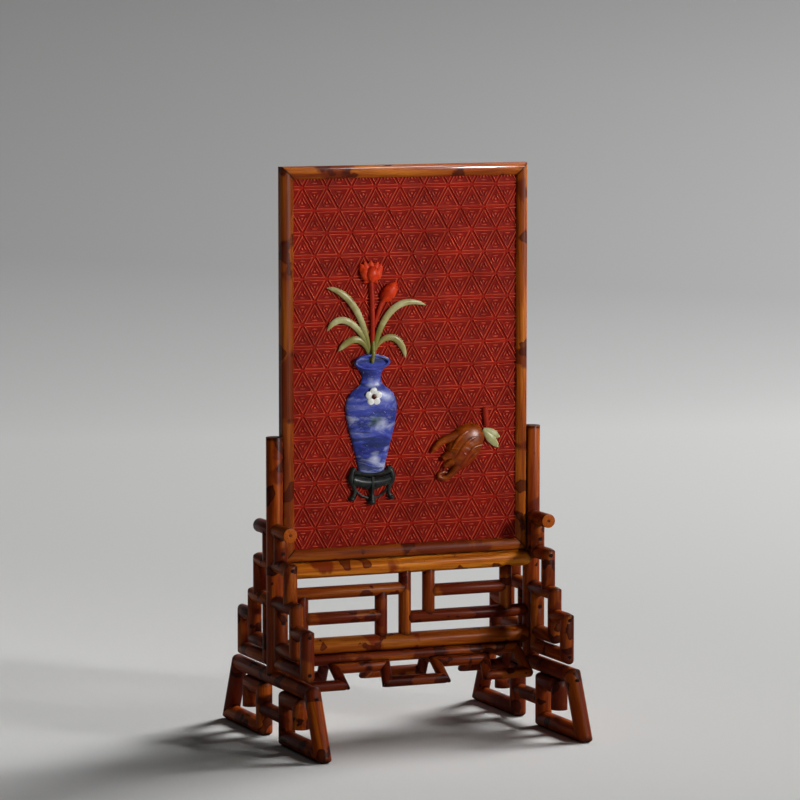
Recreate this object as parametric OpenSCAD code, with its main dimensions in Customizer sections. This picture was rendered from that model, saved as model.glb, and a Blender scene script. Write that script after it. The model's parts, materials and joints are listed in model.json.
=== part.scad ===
// Chinese table screen: a lift-out framed lacquer panel in a stand of bamboo rods.
// Millimetres. Origin on the table under the middle of the stand, front towards -Y, +Z up.

/* [Panel] */
// Width of the framed panel
panel_w = 184.6; // [165:0.1:215]
// Height of the framed panel
panel_h = 273.2; // [240:0.1:320]
// Width of the frame mouldings
frame_w = 8.8; // [7:0.1:11]
// Depth of the frame mouldings, front to back
frame_depth = 8.6; // [7:0.1:11]
// Thickness of the lacquer board
board_t = 4.2; // [3:0.1:4.8]
// How deep the board sits in the mouldings
rebate = 2.4; // [1.5:0.1:3.5]
// Side of the triangles carved in the board
cell = 18.15; // [14:0.05:24]
// Width of the groove between neighbouring triangles
cell_groove = 1.2; // [0.8:0.1:2]
// Width of each triangle's raised rim
cell_rim = 0.95; // [0.6:0.05:1.6]
// Depth of the carving
carving = 0.95; // [0.4:0.05:1.2]
// Distance from the middle of the board to a corner of the carving's lowest row line
cell_shift = 4.5; // [0:0.1:9]
// Height of that row line above the frame's lower edge
cell_rise = 13.9; // [8:0.1:18]
// Thickness of the tongues that run in the posts
tongue_t = 3.2; // [2:0.1:4]
// How far the tongues stand out from the panel's edge
tongue_out = 2.4; // [1.5:0.1:3]
// How deep the tongues are let into the side mouldings
tongue_in = 2; // [1.5:0.1:3]
// Distance from the post tops down to the tongue tops
tongue_top_gap = 6; // [2:0.5:20]

/* [Posts and rails] */
// Diameter of the posts
post_d = 12; // [11:0.1:14]
// Height of the post tops above the table
post_top = 211.6; // [190:0.1:240]
// Depth of the flat on the post where the panel slides
post_flat = 1.5; // [0.8:0.1:2]
// Diameter of the upper rail, on which the panel stands
upper_rail_d = 12; // [10:0.1:13.5]
// Height of the upper rail's axis
upper_rail_z = 117.8; // [112:0.1:126]
// Diameter of the lower rail
lower_rail_d = 12.6; // [10:0.1:14]
// Height of the lower rail's axis
lower_rail_z = 63.4; // [60:0.1:68]

/* [Lattice] */
// Diameter of the lattice rods
lattice_d = 8.9; // [7:0.1:10]
// Distance from the middle upright to the ones beside it
lattice_inner = 18; // [15:0.1:24]
// Distance from the post axes to the outer uprights
lattice_outer = 19.9; // [15:0.1:26]
// Clear space between a rail and the level bar next to it
lattice_gap = 6.2; // [4:0.1:9]
// Height of the short level bars above or below the middle of the lattice
lattice_short_z = 7.6; // [5:0.1:9]

/* [Fret brackets] */
// Diameter of the fret rods
fret_d = 9.8; // [8:0.1:11]
// Height of the free finger's axis
finger_z = 146.8; // [140:0.1:156]
// Length of the free finger from the post axis
finger_len = 29.6; // [24:0.1:36]
// Height of the first step's bar
step1_z = 122.9; // [118:0.1:128]
// Height of the second step's bar
step2_z = 96.9; // [93:0.1:102]
// Height of the third step's bar
step3_z = 81.4; // [78:0.1:84]
// Distance from the post axis to the first step's upright
step1_out = 29; // [26:0.1:30]
// Distance from the post axis to the second step's upright
step2_out = 40; // [38.5:0.1:44]
// Distance from the post axis to the third step's upright
step3_out = 60.5; // [56:0.1:68]
// Clear space between the fret's bottom bar and the foot beam
fret_lift = 1.6; // [0.6:0.1:3]
// Clear space between the fret's inner hook and the bottom bar
fret_gap = 0.9; // [0.5:0.1:2]

/* [Aprons] */
// Diameter of the apron rods
apron_d = 7.6; // [6.5:0.1:9]
// Angle round the lower rail at which the apron's top rail touches it, from straight down
apron_seat_angle = 30; // [24:1:40]
// Angle at which the apron leans outward, from straight down
apron_splay = 43; // [30:1:50]
// Distance down the slope from the apron's top rail to its bottom bars
apron_drop = 21.3; // [18:0.1:24]
// Half length of the middle loop at its top
middle_loop_top = 19.3; // [16:0.1:24]
// How much wider each loop is at its bottom, on each side
loop_flare = 2; // [0:0.1:4]
// Distance from the post axis to the inner top corner of a side loop
side_loop_top = 40.4; // [36:0.1:44]
// Distance from the post axis to the apron's upper end corners
apron_end_top = 14.2; // [12.5:0.1:18]
// Distance from the post axis to the apron's lower end corners
apron_end_low = 11.4; // [11:0.1:16]

/* [Feet] */
// Diameter of the foot beams
beam_d = 10.8; // [9:0.1:12]
// Height of the foot beams' axis
beam_z = 43.6; // [40:0.1:48]
// Half length of the foot beams, to the corner with the slanted legs
beam_half = 70.3; // [64:0.1:80]
// Diameter of the legs and loops
foot_d = 11.6; // [10:0.1:12.4]
// Distance from the middle to the corner of leg and floor rail
leg_out = 87.8; // [80:0.1:100]
// Distance from the middle to the inner uprights of the loops
loop_in = 22; // [19:0.1:26]
// Distance from the middle to the hanging stubs
stub_out = 48.4; // [42:0.1:54]
// Clear space between a stub's end and the floor rail
stub_gap = 5; // [3:0.1:8]
// Diameter of the cross rods between the loops
cross_d = 10.2; // [8:0.1:11]
// Height of the cross rods' axis
cross_z = 18.9; // [15:0.1:24]
// Depth of the worn flat under the floor rails
foot_flat = 0.5; // [0.2:0.1:1]

/* [Ornaments] */
// Distance of the vase's middle from the frame's left inner edge
vase_in = 57.4; // [52:0.1:64]
// Height of the vase's foot above the frame's lower edge
vase_h = 51.4; // [48:0.1:60]
// Height of the vase from its foot to the middle of its mouth
vase_tall = 76.8; // [70:0.1:84]
// Greatest half width of the vase
vase_r = 19.4; // [17:0.1:22]
// Half width of the vase's foot
vase_foot_r = 9.2; // [7.5:0.1:11]
// Half width of the vase's neck
vase_neck_r = 6.9; // [6:0.1:8]
// Half width of the vase's mouth
mouth_r = 13.2; // [12.4:0.1:15]
// Thickness of the vase at its middle
vase_t = 5.2; // [4:0.1:6.5]
// Thickness of the vase at its widest edge
vase_edge_t = 1.4; // [0.8:0.1:2]
// Half width of the stand under the vase
stand_r = 15; // [13:0.1:18]
// Height of the stand under the vase
stand_h = 19.4; // [17:0.1:22]
// Thickness of the stand under the vase
stand_t = 3.6; // [2.5:0.1:5]
// Radius of the white blossom on the vase
blossom_r = 6.4; // [5:0.1:7.5]
// Thickness of the leaves
leaf_t = 1.8; // [1:0.1:3]
// Width of the long leaves
leaf_w = 4.4; // [3.6:0.1:5]
// Width of the flower stems
stem_w = 3; // [2:0.1:3.4]
// Size of the open bloom
bloom_r = 6.6; // [5:0.1:8]
// Length of the bud
bud_len = 16; // [12:0.1:19]
// Height of the spray of leaves above the vase's mouth
spray_h = 52.4; // [46:0.1:58]
// Distance of the citron's middle from the frame's right inner edge
citron_in = 37.5; // [34:0.1:42]
// Height of the citron's middle above the frame's lower edge
citron_h = 65; // [60:0.1:75]
// Half width of the citron
citron_r = 12; // [10:0.1:13]
// Thickness of the citron at its middle
citron_t = 6; // [4.5:0.1:8]

/* [Fits] */
// Glue line between pieces that are fixed to each other
seat = 0.06; // [0.02:0.01:0.1]
// Running clearance between the panel and the stand
run = 0.3; // [0.2:0.05:0.5]
// Diameter of the pith hole in the fingers' ends
pith_d = 2.2; // [1.5:0.1:3]
// Depth of the pith hole in the fingers' ends
pith_depth = 6; // [3:0.5:10]
// Diameter of the joint pegs
peg_d = 2.6; // [2:0.1:3.2]
// Length of the joint pegs
peg_len = 7; // [5:0.5:8]
// How far a peg's head stands out
peg_head = 0.3; // [0.1:0.1:0.6]

/* [Hidden] */
$fn = 64;

// Colours
bamboo = "#8a5220";
light_bamboo = "#a5702c";
red_bamboo = "#7c3d1c";
lacquer = "#8f1a12";
lapis = "#34479c";
coral = "#bb2c16";
leaf_green = "#86905a";

// Share of a rod's diameter by which a fish-mouthed end stops short of the axis that it clasps
lip = 0.18;
end_gap = lip * fret_d;
post_gap = lip * post_d;

// Panel
panel_bottom = upper_rail_z + upper_rail_d / 2 + run;
panel_top = panel_bottom + panel_h;
open_w = panel_w - 2 * frame_w;
open_bottom = panel_bottom + frame_w;
open_top = panel_top - frame_w;
board_front = -board_t / 2;
vase_x = vase_in - open_w / 2;
citron_x = open_w / 2 - citron_in;

// Posts
post_x = panel_w / 2 + run + post_d / 2 - post_flat;
groove_w = tongue_t + 2 * run;
groove_depth = tongue_out + 2 * run;

// Lattice
lattice_top = upper_rail_z - upper_rail_d / 2;
lattice_low = lower_rail_z + lower_rail_d / 2;
lattice_mid = (lattice_top + lattice_low) / 2;
upper_bar_z = lattice_top - lattice_gap - lattice_d / 2;
lower_bar_z = lattice_low + lattice_gap + lattice_d / 2;
outer_x = post_x - lattice_outer;

// Fret brackets, measured outward from the post axis and up from the table
inner_out = post_d / 2 + fret_d / 2 + seat;
bottom_bar_z = beam_z + beam_d / 2 + fret_lift + fret_d / 2;
hook_bar_z = bottom_bar_z + fret_d + fret_gap;

// Feet
rail_z = foot_d / 2 - foot_flat;
loop_top_z = beam_z - beam_d / 2 - foot_d / 2 - seat;
stub_low = rail_z + foot_d / 2 + stub_gap;
leg_slant = atan2(leg_out - beam_half, beam_z - rail_z);

// Aprons: points on the slope, front side
apron_rail_yz = [-(lower_rail_d + apron_d + 2 * seat) / 2 * sin(apron_seat_angle),
    lower_rail_z - (lower_rail_d + apron_d + 2 * seat) / 2 * cos(apron_seat_angle)];
apron_top_yz = down_slope(apron_d + seat);
apron_low_yz = down_slope(apron_drop);

// Vase: roundness of its foot line, half height of its mouth, height of its mouth above the frame
foot_sag = vase_foot_r / 8;
mouth_sag = 0.43 * mouth_r;
mouth_h = vase_h + vase_tall;

// Leaves: curves from the middle of the vase's mouth
long_left_curve = spray_h * [[-0.025, -0.02], [-0.075, 0.46], [-0.25, 0.955], [-0.635, 1]];
long_right_curve = spray_h * [[0.03, -0.02], [0.057, 0.42], [0.267, 0.955], [0.782, 0.73]];
middle_left_curve = spray_h * [[-0.067, 0.17], [-0.17, 0.515], [-0.458, 0.725], [-0.63, 0.43]];
short_left_curve = spray_h * [[-0.076, 0.125], [-0.15, 0.38], [-0.305, 0.343], [-0.47, 0.16]];
short_right_curve = spray_h * [[0.07, 0.143], [0.19, 0.42], [0.44, 0.363], [0.489, 0.04]];
bloom_foot = spray_h * [-0.004, 1.057];
bud_foot = spray_h * [0.158, 0.8];

function unit(v) = v / norm(v);

function down_slope(distance) = [apron_rail_yz.x - distance * sin(apron_splay),
    apron_rail_yz.y - distance * cos(apron_splay)];

// Point of a fret bracket or foot: so far in front of the post axis, so high
function out(distance, height) = [0, -distance, height];

// Point of an apron: sideways, then the place on the slope
function apron(x, yz) = [x, yz.x, yz.y];

// How far out the front of a leg is at a height
function leg_face(z) = beam_half + (beam_z - z) * tan(leg_slant) + foot_d / 2 / cos(leg_slant);

function bezier(p, t) = pow(1 - t, 3) * p[0] + 3 * t * pow(1 - t, 2) * p[1]
    + 3 * t * t * (1 - t) * p[2] + pow(t, 3) * p[3];

function bezier_side(p, t) = let (d = bezier(p, min(t + 0.01, 1)) - bezier(p, max(t - 0.01, 0)))
    unit([-d.y, d.x]);

// Straight rod with square ends
module rod(a, b, d) {
    v = b - a;
    translate(a)
        rotate([0, acos(v.z / norm(v)), atan2(v.y, v.x)])
            cylinder(h = norm(v), d = d);
}

// Block that fills the space beyond point p in direction n
module beyond(p, n, size) {
    translate(p)
        rotate([0, acos(n.z / norm(n)), atan2(n.y, n.x)])
            translate([-size / 2, -size / 2, -seat / 2])
                cube(size);
}

// Rod from a to b, cut on the mitre where another rod comes before or goes on after it
module mitred_rod(a, b, d, before = undef, after = undef) {
    along = unit(b - a);
    start = is_undef(before) ? a : a - along * d;
    end = is_undef(after) ? b : b + along * d;
    difference() {
        rod(start, end, d);
        if (!is_undef(before))
            beyond(a, unit(before - a) - along, 4 * d);
        if (!is_undef(after))
            beyond(b, unit(after - b) + along, 4 * d);
    }
}

// What a fish-mouthed end leaves out: the rod that it clasps, with its glue line
module clasped(a, b, d) {
    rod(a, b, d + 2 * seat);
}

// Ribbon along a bezier curve with a width at its start, middle and end
module ribbon(curve, start_w, mid_w, end_w, steps = 24) {
    function half(t) = bezier([start_w, mid_w, mid_w, end_w] / 2, t);
    function edge(t, side) = bezier(curve, t) + side * half(t) * bezier_side(curve, t);
    there = [for (i = [0:steps]) edge(i / steps, 1)];
    back = [for (i = [steps:-1:0]) edge(i / steps, -1)];
    polygon(concat(there, back));
}

module ellipse(rx, ry, steps = 48) {
    polygon([for (i = [0:steps - 1]) [rx * cos(360 * i / steps), ry * sin(360 * i / steps)]]);
}

// Lens outline with pointed ends, from the origin upward
module petal(length, width) {
    r = (length * length + width * width) / (4 * width);
    translate([0, length / 2])
        intersection() {
            translate([r - width / 2, 0])
                circle(r);
            translate([width / 2 - r, 0])
                circle(r);
        }
}

// Stands a drawing on the front of the board, x from its middle and h above the frame's lower edge
module on_board(x, h) {
    translate([x, board_front - seat, open_bottom + h])
        rotate([90, 0, 0])
            children();
}

// The space in front of the board's face, for ornaments that are cut flat at the back
module front_half(size) {
    translate([-size, -size, 0])
        cube([2 * size, 2 * size, size]);
}

// Frame moulding: half-round front, flat back, rebate for the board; length along X, inner edge up
module moulding(length) {
    round_d = frame_depth + frame_w / 4;
    difference() {
        intersection() {
            translate([-length / 2, -frame_depth / 2, 0])
                cube([length, frame_depth, frame_w]);
            translate([-length / 2, (round_d - frame_depth) / 2, frame_w / 2])
                rotate([0, 90, 0])
                    cylinder(d = round_d, h = length);
        }
        translate([-length / 2, -board_t / 2 - seat, frame_w - rebate - seat])
            cube([length, board_t + 2 * seat, frame_w]);
        for (end = [-1, 1])
            translate([end * length / 2, 0, 0])
                rotate([0, -end * 45, 0])
                    translate([end > 0 ? -seat / 2 : seat / 2 - 3 * frame_w, -frame_depth, -2 * frame_w])
                        cube([3 * frame_w, 2 * frame_depth, 6 * frame_w]);
    }
}

// Raised rim of one carved triangle, about its middle, pointing up
module cell_ring() {
    outer_r = cell / sqrt(3) - cell_groove;
    difference() {
        rotate(90)
            circle(outer_r, $fn = 3);
        rotate(90)
            circle(outer_r - 2 * cell_rim, $fn = 3);
    }
}

// Rims of all the triangles, up and down in turn, from the middle of the opening's lower edge
module diaper() {
    row_h = cell * sqrt(3) / 2;
    rows = ceil((open_top - open_bottom) / row_h) + 1;
    columns = ceil(open_w / cell) + 2;
    intersection() {
        translate([-open_w / 2 - rebate / 2, -rebate / 2])
            square([open_w + rebate, open_top - open_bottom + rebate]);
        for (row = [-1:rows - 2], column = [-columns / 2:columns / 2])
            translate([cell_shift + (column + (row % 2 == 0 ? 0.5 : 1)) * cell, cell_rise + row * row_h]) {
                translate([0, row_h / 3])
                    cell_ring();
                translate([cell / 2, 2 * row_h / 3])
                    rotate(180)
                        cell_ring();
            }
    }
}

module lacquer_board() {
    color(lacquer) {
        translate([-open_w / 2 - rebate, board_front + carving, open_bottom - rebate])
            cube([open_w + 2 * rebate, board_t - carving, open_top - open_bottom + 2 * rebate]);
        translate([0, board_front + carving, open_bottom])
            rotate([90, 0, 0])
                linear_extrude(carving)
                    diaper();
    }
}

module frame_bottom() {
    color(bamboo)
        translate([0, 0, panel_bottom])
            moulding(panel_w);
}

module frame_top() {
    color(bamboo)
        translate([0, 0, panel_top])
            rotate([0, 180, 0])
                moulding(panel_w);
}

// Side moulding, slotted at its outer edge for the tongue; side is -1 for left
module frame_side(side) {
    difference() {
        translate([side * panel_w / 2, 0, (panel_bottom + panel_top) / 2])
            rotate([0, -side * 90, 0])
                moulding(panel_h);
        tongue(side, seat);
    }
}

// Strip let into the edge of the panel, which runs in the post's groove
module tongue(side, clearance) {
    wide = tongue_in + tongue_out + 2 * clearance;
    low = panel_bottom + frame_w;
    translate([side * (panel_w / 2 + (tongue_out - tongue_in) / 2) - wide / 2, -tongue_t / 2 - clearance,
            low - clearance])
        cube([wide, tongue_t + 2 * clearance, post_top - tongue_top_gap - low + 2 * clearance]);
}

module panel_tongues() {
    color(red_bamboo)
        for (side = [-1, 1])
            tongue(side, 0);
}

module frame_left() {
    color(bamboo)
        frame_side(-1);
}

module frame_right() {
    color(bamboo)
        frame_side(1);
}

module vase_outline() {
    belly_z = 0.6 * vase_tall;
    shoulder_z = 0.8 * vase_tall;
    steps = 16;
    body = [[vase_foot_r, 0], [0.68 * vase_r, 0.2 * vase_tall], [vase_r, 0.38 * vase_tall],
        [vase_r, belly_z]];
    shoulder = [[vase_r, belly_z], [vase_r, 0.72 * vase_tall], [1.5 * vase_neck_r, 0.775 * vase_tall],
        [1.2 * vase_neck_r, shoulder_z]];
    neck = [[1.2 * vase_neck_r, shoulder_z], [0.86 * vase_neck_r, 0.84 * vase_tall],
        [0.86 * vase_neck_r, 0.92 * vase_tall], [mouth_r, vase_tall]];
    half = [for (c = [body, shoulder, neck], i = [0:steps - 1]) bezier(c, i / steps)];
    tip = [mouth_r, vase_tall];
    right = concat(half, [tip]);
    polygon(concat(right, [for (i = [len(right) - 1:-1:0]) [-right[i].x, right[i].y]]));
}

module vase() {
    sag = vase_t - vase_edge_t;
    dome_r = (vase_r * vase_r + sag * sag) / (2 * sag);
    wall = 0.3 * mouth_r;
    color(lapis)
        on_board(vase_x, vase_h)
            intersection() {
                linear_extrude(vase_t)
                    difference() {
                        union() {
                            vase_outline();
                            ellipse(vase_foot_r, foot_sag);
                            translate([0, vase_tall])
                                ellipse(mouth_r, mouth_sag);
                        }
                        // Hollow of the mouth, open at the back where the leaves lean out
                        translate([0, vase_tall + mouth_sag / 5])
                            ellipse(mouth_r - wall, mouth_sag - wall / 2);
                        translate([-mouth_r / 2, vase_tall])
                            square([mouth_r, 2 * mouth_sag]);
                    }
                translate([0, -foot_sag, vase_t - dome_r])
                    rotate([-90, 0, 0])
                        cylinder(r = dome_r, h = vase_tall + 2 * mouth_sag, $fn = 128);
            }
}

// Openwork stand under the vase: moulded rim, skirt, scrolled side legs, a proud middle leg and braces
module vase_stand() {
    bar = stand_r / 7;
    side_leg = [[stand_r - 0.6 * bar, 0.8 * bar], [stand_r + 1.4 * bar, -0.45 * stand_h],
        [stand_r - 2.4 * bar, -0.55 * stand_h], [stand_r - 0.4 * bar, bar - stand_h]];
    rim = [[-stand_r, -bar], [-stand_r / 2, -2.1 * bar], [stand_r / 2, -2.1 * bar], [stand_r, -bar]];
    skirt = [[-stand_r, -3 * bar], [-stand_r / 2, -4.4 * bar], [stand_r / 2, -4.4 * bar],
        [stand_r, -3 * bar]];
    brace = [[0, bar - stand_h], [stand_r / 2, bar - stand_h], [stand_r - 2 * bar, bar - 0.8 * stand_h],
        [stand_r - 1.2 * bar, -0.55 * stand_h]];
    color("#2b332d")
        on_board(vase_x, vase_h - seat)
            difference() {
                union() {
                    linear_extrude(stand_t)
                        ribbon(rim, 1.6 * bar, 2 * bar, 1.6 * bar);
                    linear_extrude(0.75 * stand_t)
                        ribbon(skirt, 2.6 * bar, 2.8 * bar, 2.6 * bar);
                    for (side = [0, 1])
                        mirror([side, 0, 0]) {
                            linear_extrude(0.85 * stand_t)
                                ribbon(side_leg, 1.8 * bar, 1.2 * bar, 1.2 * bar);
                            linear_extrude(0.5 * stand_t)
                                ribbon(brace, 0.7 * bar, 0.7 * bar, 0.7 * bar);
                            translate([stand_r - 0.6 * bar, 0.6 * bar, 0])
                                cylinder(r = 0.9 * bar, h = 0.9 * stand_t);
                            translate([stand_r - 0.3 * bar, bar - stand_h, 0])
                                cylinder(r = bar, h = 0.9 * stand_t);
                        }
                    translate([-0.75 * bar, -1.08 * stand_h, 0])
                        cube([1.5 * bar, 1.08 * stand_h - bar, 1.3 * stand_t]);
                    translate([0, -1.08 * stand_h, 0])
                        cylinder(r = 1.4 * bar, h = 1.3 * stand_t);
                }
                translate([0, 0, -1])
                    linear_extrude(2 * stand_t) {
                        ellipse(vase_foot_r + seat, foot_sag);
                        translate([-vase_foot_r - seat, 0])
                            square([2 * (vase_foot_r + seat), bar]);
                    }
            }
}

module vase_blossom() {
    petal_r = 0.42 * blossom_r;
    color("#dcdcd2")
        on_board(vase_x, vase_h)
            translate([0, 0.69 * vase_tall, vase_t + seat])
                difference() {
                    union() {
                        for (i = [0:4])
                            rotate(90 + 72 * i)
                                translate([blossom_r - petal_r, 0, 0])
                                    cylinder(r = petal_r, h = 0.2 * blossom_r);
                        cylinder(r = blossom_r / 2, h = 0.2 * blossom_r);
                    }
                    translate([0, 0, 0.05 * blossom_r])
                        cylinder(r = 0.3 * blossom_r + seat, h = blossom_r);
                }
}

module blossom_centre() {
    color("#5a2414")
        on_board(vase_x, vase_h)
            translate([0, 0.69 * vase_tall, vase_t + 2 * seat + 0.05 * blossom_r])
                union() {
                    cylinder(r = 0.3 * blossom_r, h = 0.2 * blossom_r);
                    translate([0, 0, 0.2 * blossom_r])
                        intersection() {
                            sphere(r = 0.3 * blossom_r);
                            front_half(blossom_r);
                        }
                }
}

// Outline of a leaf, grown by a glue line all round where another leaf is cut to it
module leaf_outline(curve, width, grow = 0) {
    ribbon(curve, 0.45 * width + 2 * grow, 1.3 * width + 2 * grow, 0.2 + 2 * grow);
}

// Lays a leaf's outline on the board, measured from the middle of the vase's mouth
module leaf_on_board() {
    color(leaf_green)
        on_board(vase_x, mouth_h)
            linear_extrude(leaf_t)
                children();
}

module long_leaf_left() {
    leaf_on_board()
        leaf_outline(long_left_curve, leaf_w);
}

module middle_leaf_left() {
    leaf_on_board()
        difference() {
            leaf_outline(middle_left_curve, leaf_w);
            leaf_outline(long_left_curve, leaf_w, seat);
        }
}

module short_leaf_left() {
    leaf_on_board()
        difference() {
            leaf_outline(short_left_curve, leaf_w);
            leaf_outline(long_left_curve, leaf_w, seat);
            leaf_outline(middle_left_curve, leaf_w, seat);
        }
}

module long_leaf_right() {
    leaf_on_board()
        difference() {
            leaf_outline(long_right_curve, leaf_w);
            leaf_outline(long_left_curve, leaf_w, seat);
        }
}

module short_leaf_right() {
    leaf_on_board()
        difference() {
            leaf_outline(short_right_curve, leaf_w);
            leaf_outline(long_right_curve, leaf_w, seat);
        }
}

// Round stem lying on the board, a quarter of its thickness cut away behind
module stem(foot, top, width) {
    intersection() {
        rod([foot.x, foot.y, width / 4], [top.x, top.y, width / 4], width);
        front_half(norm(foot) + norm(top) + width);
    }
}

module flower_stem() {
    color(coral)
        on_board(vase_x, mouth_h)
            stem(spray_h * [0.006, 0.39], bloom_foot, stem_w);
}

module bud_stem() {
    color(coral)
        on_board(vase_x, mouth_h)
            stem(spray_h * [0.069, 0.515], bud_foot, 0.8 * stem_w);
}

// Open bloom seen from the side: a fan of pointed petals over two sepals, on a round cup
module flower_bloom() {
    cup_r = 0.3 * bloom_r;
    petal_w = 0.95 * bloom_r;
    color(coral)
        on_board(vase_x, mouth_h)
            translate([bloom_foot.x, bloom_foot.y + cup_r + seat, 0]) {
                for (turn = [-44, 44])
                    rotate(turn)
                        linear_extrude(0.4 * bloom_r)
                            petal(1.8 * bloom_r, petal_w);
                for (turn = [-23, 23])
                    rotate(turn)
                        linear_extrude(0.55 * bloom_r)
                            petal(1.9 * bloom_r, petal_w);
                linear_extrude(0.68 * bloom_r)
                    petal(2 * bloom_r, petal_w);
                for (turn = [-80, 80])
                    rotate(turn)
                        linear_extrude(0.25 * bloom_r)
                            petal(0.9 * bloom_r, 0.5 * petal_w);
                cylinder(r = cup_r, h = 0.75 * bloom_r);
            }
}

module flower_bud() {
    color(coral)
        on_board(vase_x, mouth_h)
            translate([bud_foot.x + seat, bud_foot.y + 2 * seat, 0])
                rotate(-38)
                    intersection() {
                        rotate([-90, 0, 0])
                            rotate_extrude()
                                intersection() {
                                    petal(bud_len, bud_len / 2);
                                    square(bud_len);
                                }
                        front_half(bud_len);
                    }
}

// Round-ended bar along a line, turned in one piece; round at its start too if wanted
module round_bar(a, b, r, both = false) {
    v = b - a;
    length = norm(v);
    translate(a)
        rotate([0, acos(v.z / length), atan2(v.y, v.x)])
            rotate_extrude()
                intersection() {
                    union() {
                        square([r, length]);
                        translate([0, length])
                            circle(r);
                        if (both)
                            circle(r);
                    }
                    translate([0, both ? -r : 0])
                        square([r, length + 2 * r]);
                }
}

// Finger citron: a domed body, one long curved finger, two short ones and a hooked one
module citron_fruit() {
    dome_r = (citron_r * citron_r + citron_t * citron_t) / (2 * citron_t);
    sunk = citron_t - dome_r;
    finger_r = 0.24 * citron_r;
    arm_r = 2 * citron_r;
    arm_start = 85;
    arm_end = 142;
    arm_middle = [-0.67 * citron_r, 0.62 * citron_r - arm_r, 0];
    hook = citron_r * [-1.3, -1.55, 0];
    body_low = citron_r * [-0.46, -0.08, 0] + [0, 0, sunk];
    body_high = citron_r * [0.21, 0.42, 0] + [0, 0, sunk];
    color("#93521f")
        on_board(citron_x, citron_h)
            intersection() {
                union() {
                    round_bar(body_low, body_high, dome_r, both = true);
                    translate(arm_middle)
                        rotate(arm_start)
                            rotate_extrude(angle = arm_end - arm_start)
                                translate([arm_r, 0])
                                    circle(finger_r);
                    translate(arm_middle + arm_r * [cos(arm_end), sin(arm_end), 0])
                        sphere(1.05 * finger_r);
                    round_bar(citron_r * [-0.67, -0.17, 0], citron_r * [-1.45, -0.45, 0], 1.1 * finger_r);
                    round_bar(citron_r * [-0.5, -0.5, 0], citron_r * [-1.35, -0.95, 0], 0.85 * finger_r);
                    round_bar(citron_r * [-0.33, -0.83, 0], hook, finger_r);
                    round_bar(hook, hook + citron_r * [-0.4, 0.2, 0], 0.8 * finger_r);
                }
                front_half(5 * citron_r);
            }
}

module citron_stem() {
    color(coral)
        on_board(citron_x, citron_h)
            stem(citron_r * [1.22, 1.3], citron_r * [1.23, 2.3], 1.4 * stem_w);
}

// Two leaflets that share one stalk
module citron_leaf() {
    color("#b4bb86")
        on_board(citron_x, citron_h)
            translate([1.2 * citron_r, citron_r, 0])
                linear_extrude(leaf_t) {
                    rotate(-122)
                        petal(2.6 * leaf_w, 1.2 * leaf_w);
                    rotate(-150)
                        petal(3.6 * leaf_w, 1.4 * leaf_w);
                }
}

// Post: fish-mouthed over the foot beam, planed flat and grooved where the panel slides
module post(side) {
    inner = -side * (post_d / 2 - post_flat);
    slide_bottom = panel_bottom - run;
    translate([side * post_x, 0, 0])
        difference() {
            rod([0, 0, beam_z + lip * beam_d], [0, 0, post_top], post_d);
            clasped([0, -beam_half, beam_z], [0, beam_half, beam_z], beam_d);
            translate([side > 0 ? inner - post_d : inner, -post_d, slide_bottom])
                cube([post_d, 2 * post_d, post_top]);
            translate([side > 0 ? inner - post_d : inner - groove_depth, -groove_w / 2, slide_bottom])
                cube([post_d + groove_depth, groove_w, post_top]);
        }
}

module left_post() {
    color(bamboo)
        post(-1);
}

module right_post() {
    color(bamboo)
        post(1);
}

// Rail between the posts, fish-mouthed onto both
module rail(z, d) {
    difference() {
        rod([-post_x + lip * post_d, 0, z], [post_x - lip * post_d, 0, z], d);
        for (side = [-1, 1])
            clasped([side * post_x, 0, z - d], [side * post_x, 0, z + d], post_d);
    }
}

module upper_rail() {
    color(light_bamboo)
        rail(upper_rail_z, upper_rail_d);
}

module lower_rail() {
    color(light_bamboo)
        rail(lower_rail_z, lower_rail_d);
}

// Lattice upright, fish-mouthed onto the level rods above and below it
module lattice_upright(x, low_z, low_d, high_z, high_d) {
    color(bamboo)
        difference() {
            rod([x, 0, low_z + lip * low_d], [x, 0, high_z - lip * high_d], lattice_d);
            clasped([x - lattice_d, 0, low_z], [x + lattice_d, 0, low_z], low_d);
            clasped([x - lattice_d, 0, high_z], [x + lattice_d, 0, high_z], high_d);
        }
}

// Level lattice bar, fish-mouthed onto the upright rods at its ends
module lattice_bar(z, left_x, left_d, right_x, right_d) {
    color(red_bamboo)
        difference() {
            rod([left_x + lip * left_d, 0, z], [right_x - lip * right_d, 0, z], lattice_d);
            clasped([left_x, 0, z - lattice_d], [left_x, 0, z + lattice_d], left_d);
            clasped([right_x, 0, z - lattice_d], [right_x, 0, z + lattice_d], right_d);
        }
}

module lattice_upright_left() {
    lattice_upright(-outer_x, lower_rail_z, lower_rail_d, upper_bar_z, lattice_d);
}

module lattice_upright_inner_left() {
    lattice_upright(-lattice_inner, lower_rail_z, lower_rail_d, upper_bar_z, lattice_d);
}

module lattice_upright_middle() {
    lattice_upright(0, lower_rail_z, lower_rail_d, upper_rail_z, upper_rail_d);
}

module lattice_upright_inner_right() {
    lattice_upright(lattice_inner, lower_bar_z, lattice_d, upper_rail_z, upper_rail_d);
}

module lattice_upright_right() {
    lattice_upright(outer_x, lower_bar_z, lattice_d, upper_rail_z, upper_rail_d);
}

module lattice_bar_upper_left() {
    lattice_bar(upper_bar_z, -post_x, post_d, 0, lattice_d);
}

module lattice_bar_short_left() {
    lattice_bar(lattice_mid - lattice_short_z, -outer_x, lattice_d, -lattice_inner, lattice_d);
}

module lattice_bar_short_right() {
    lattice_bar(lattice_mid + lattice_short_z, lattice_inner, lattice_d, outer_x, lattice_d);
}

module lattice_bar_lower_right() {
    lattice_bar(lower_bar_z, 0, lattice_d, post_x, post_d);
}

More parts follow.
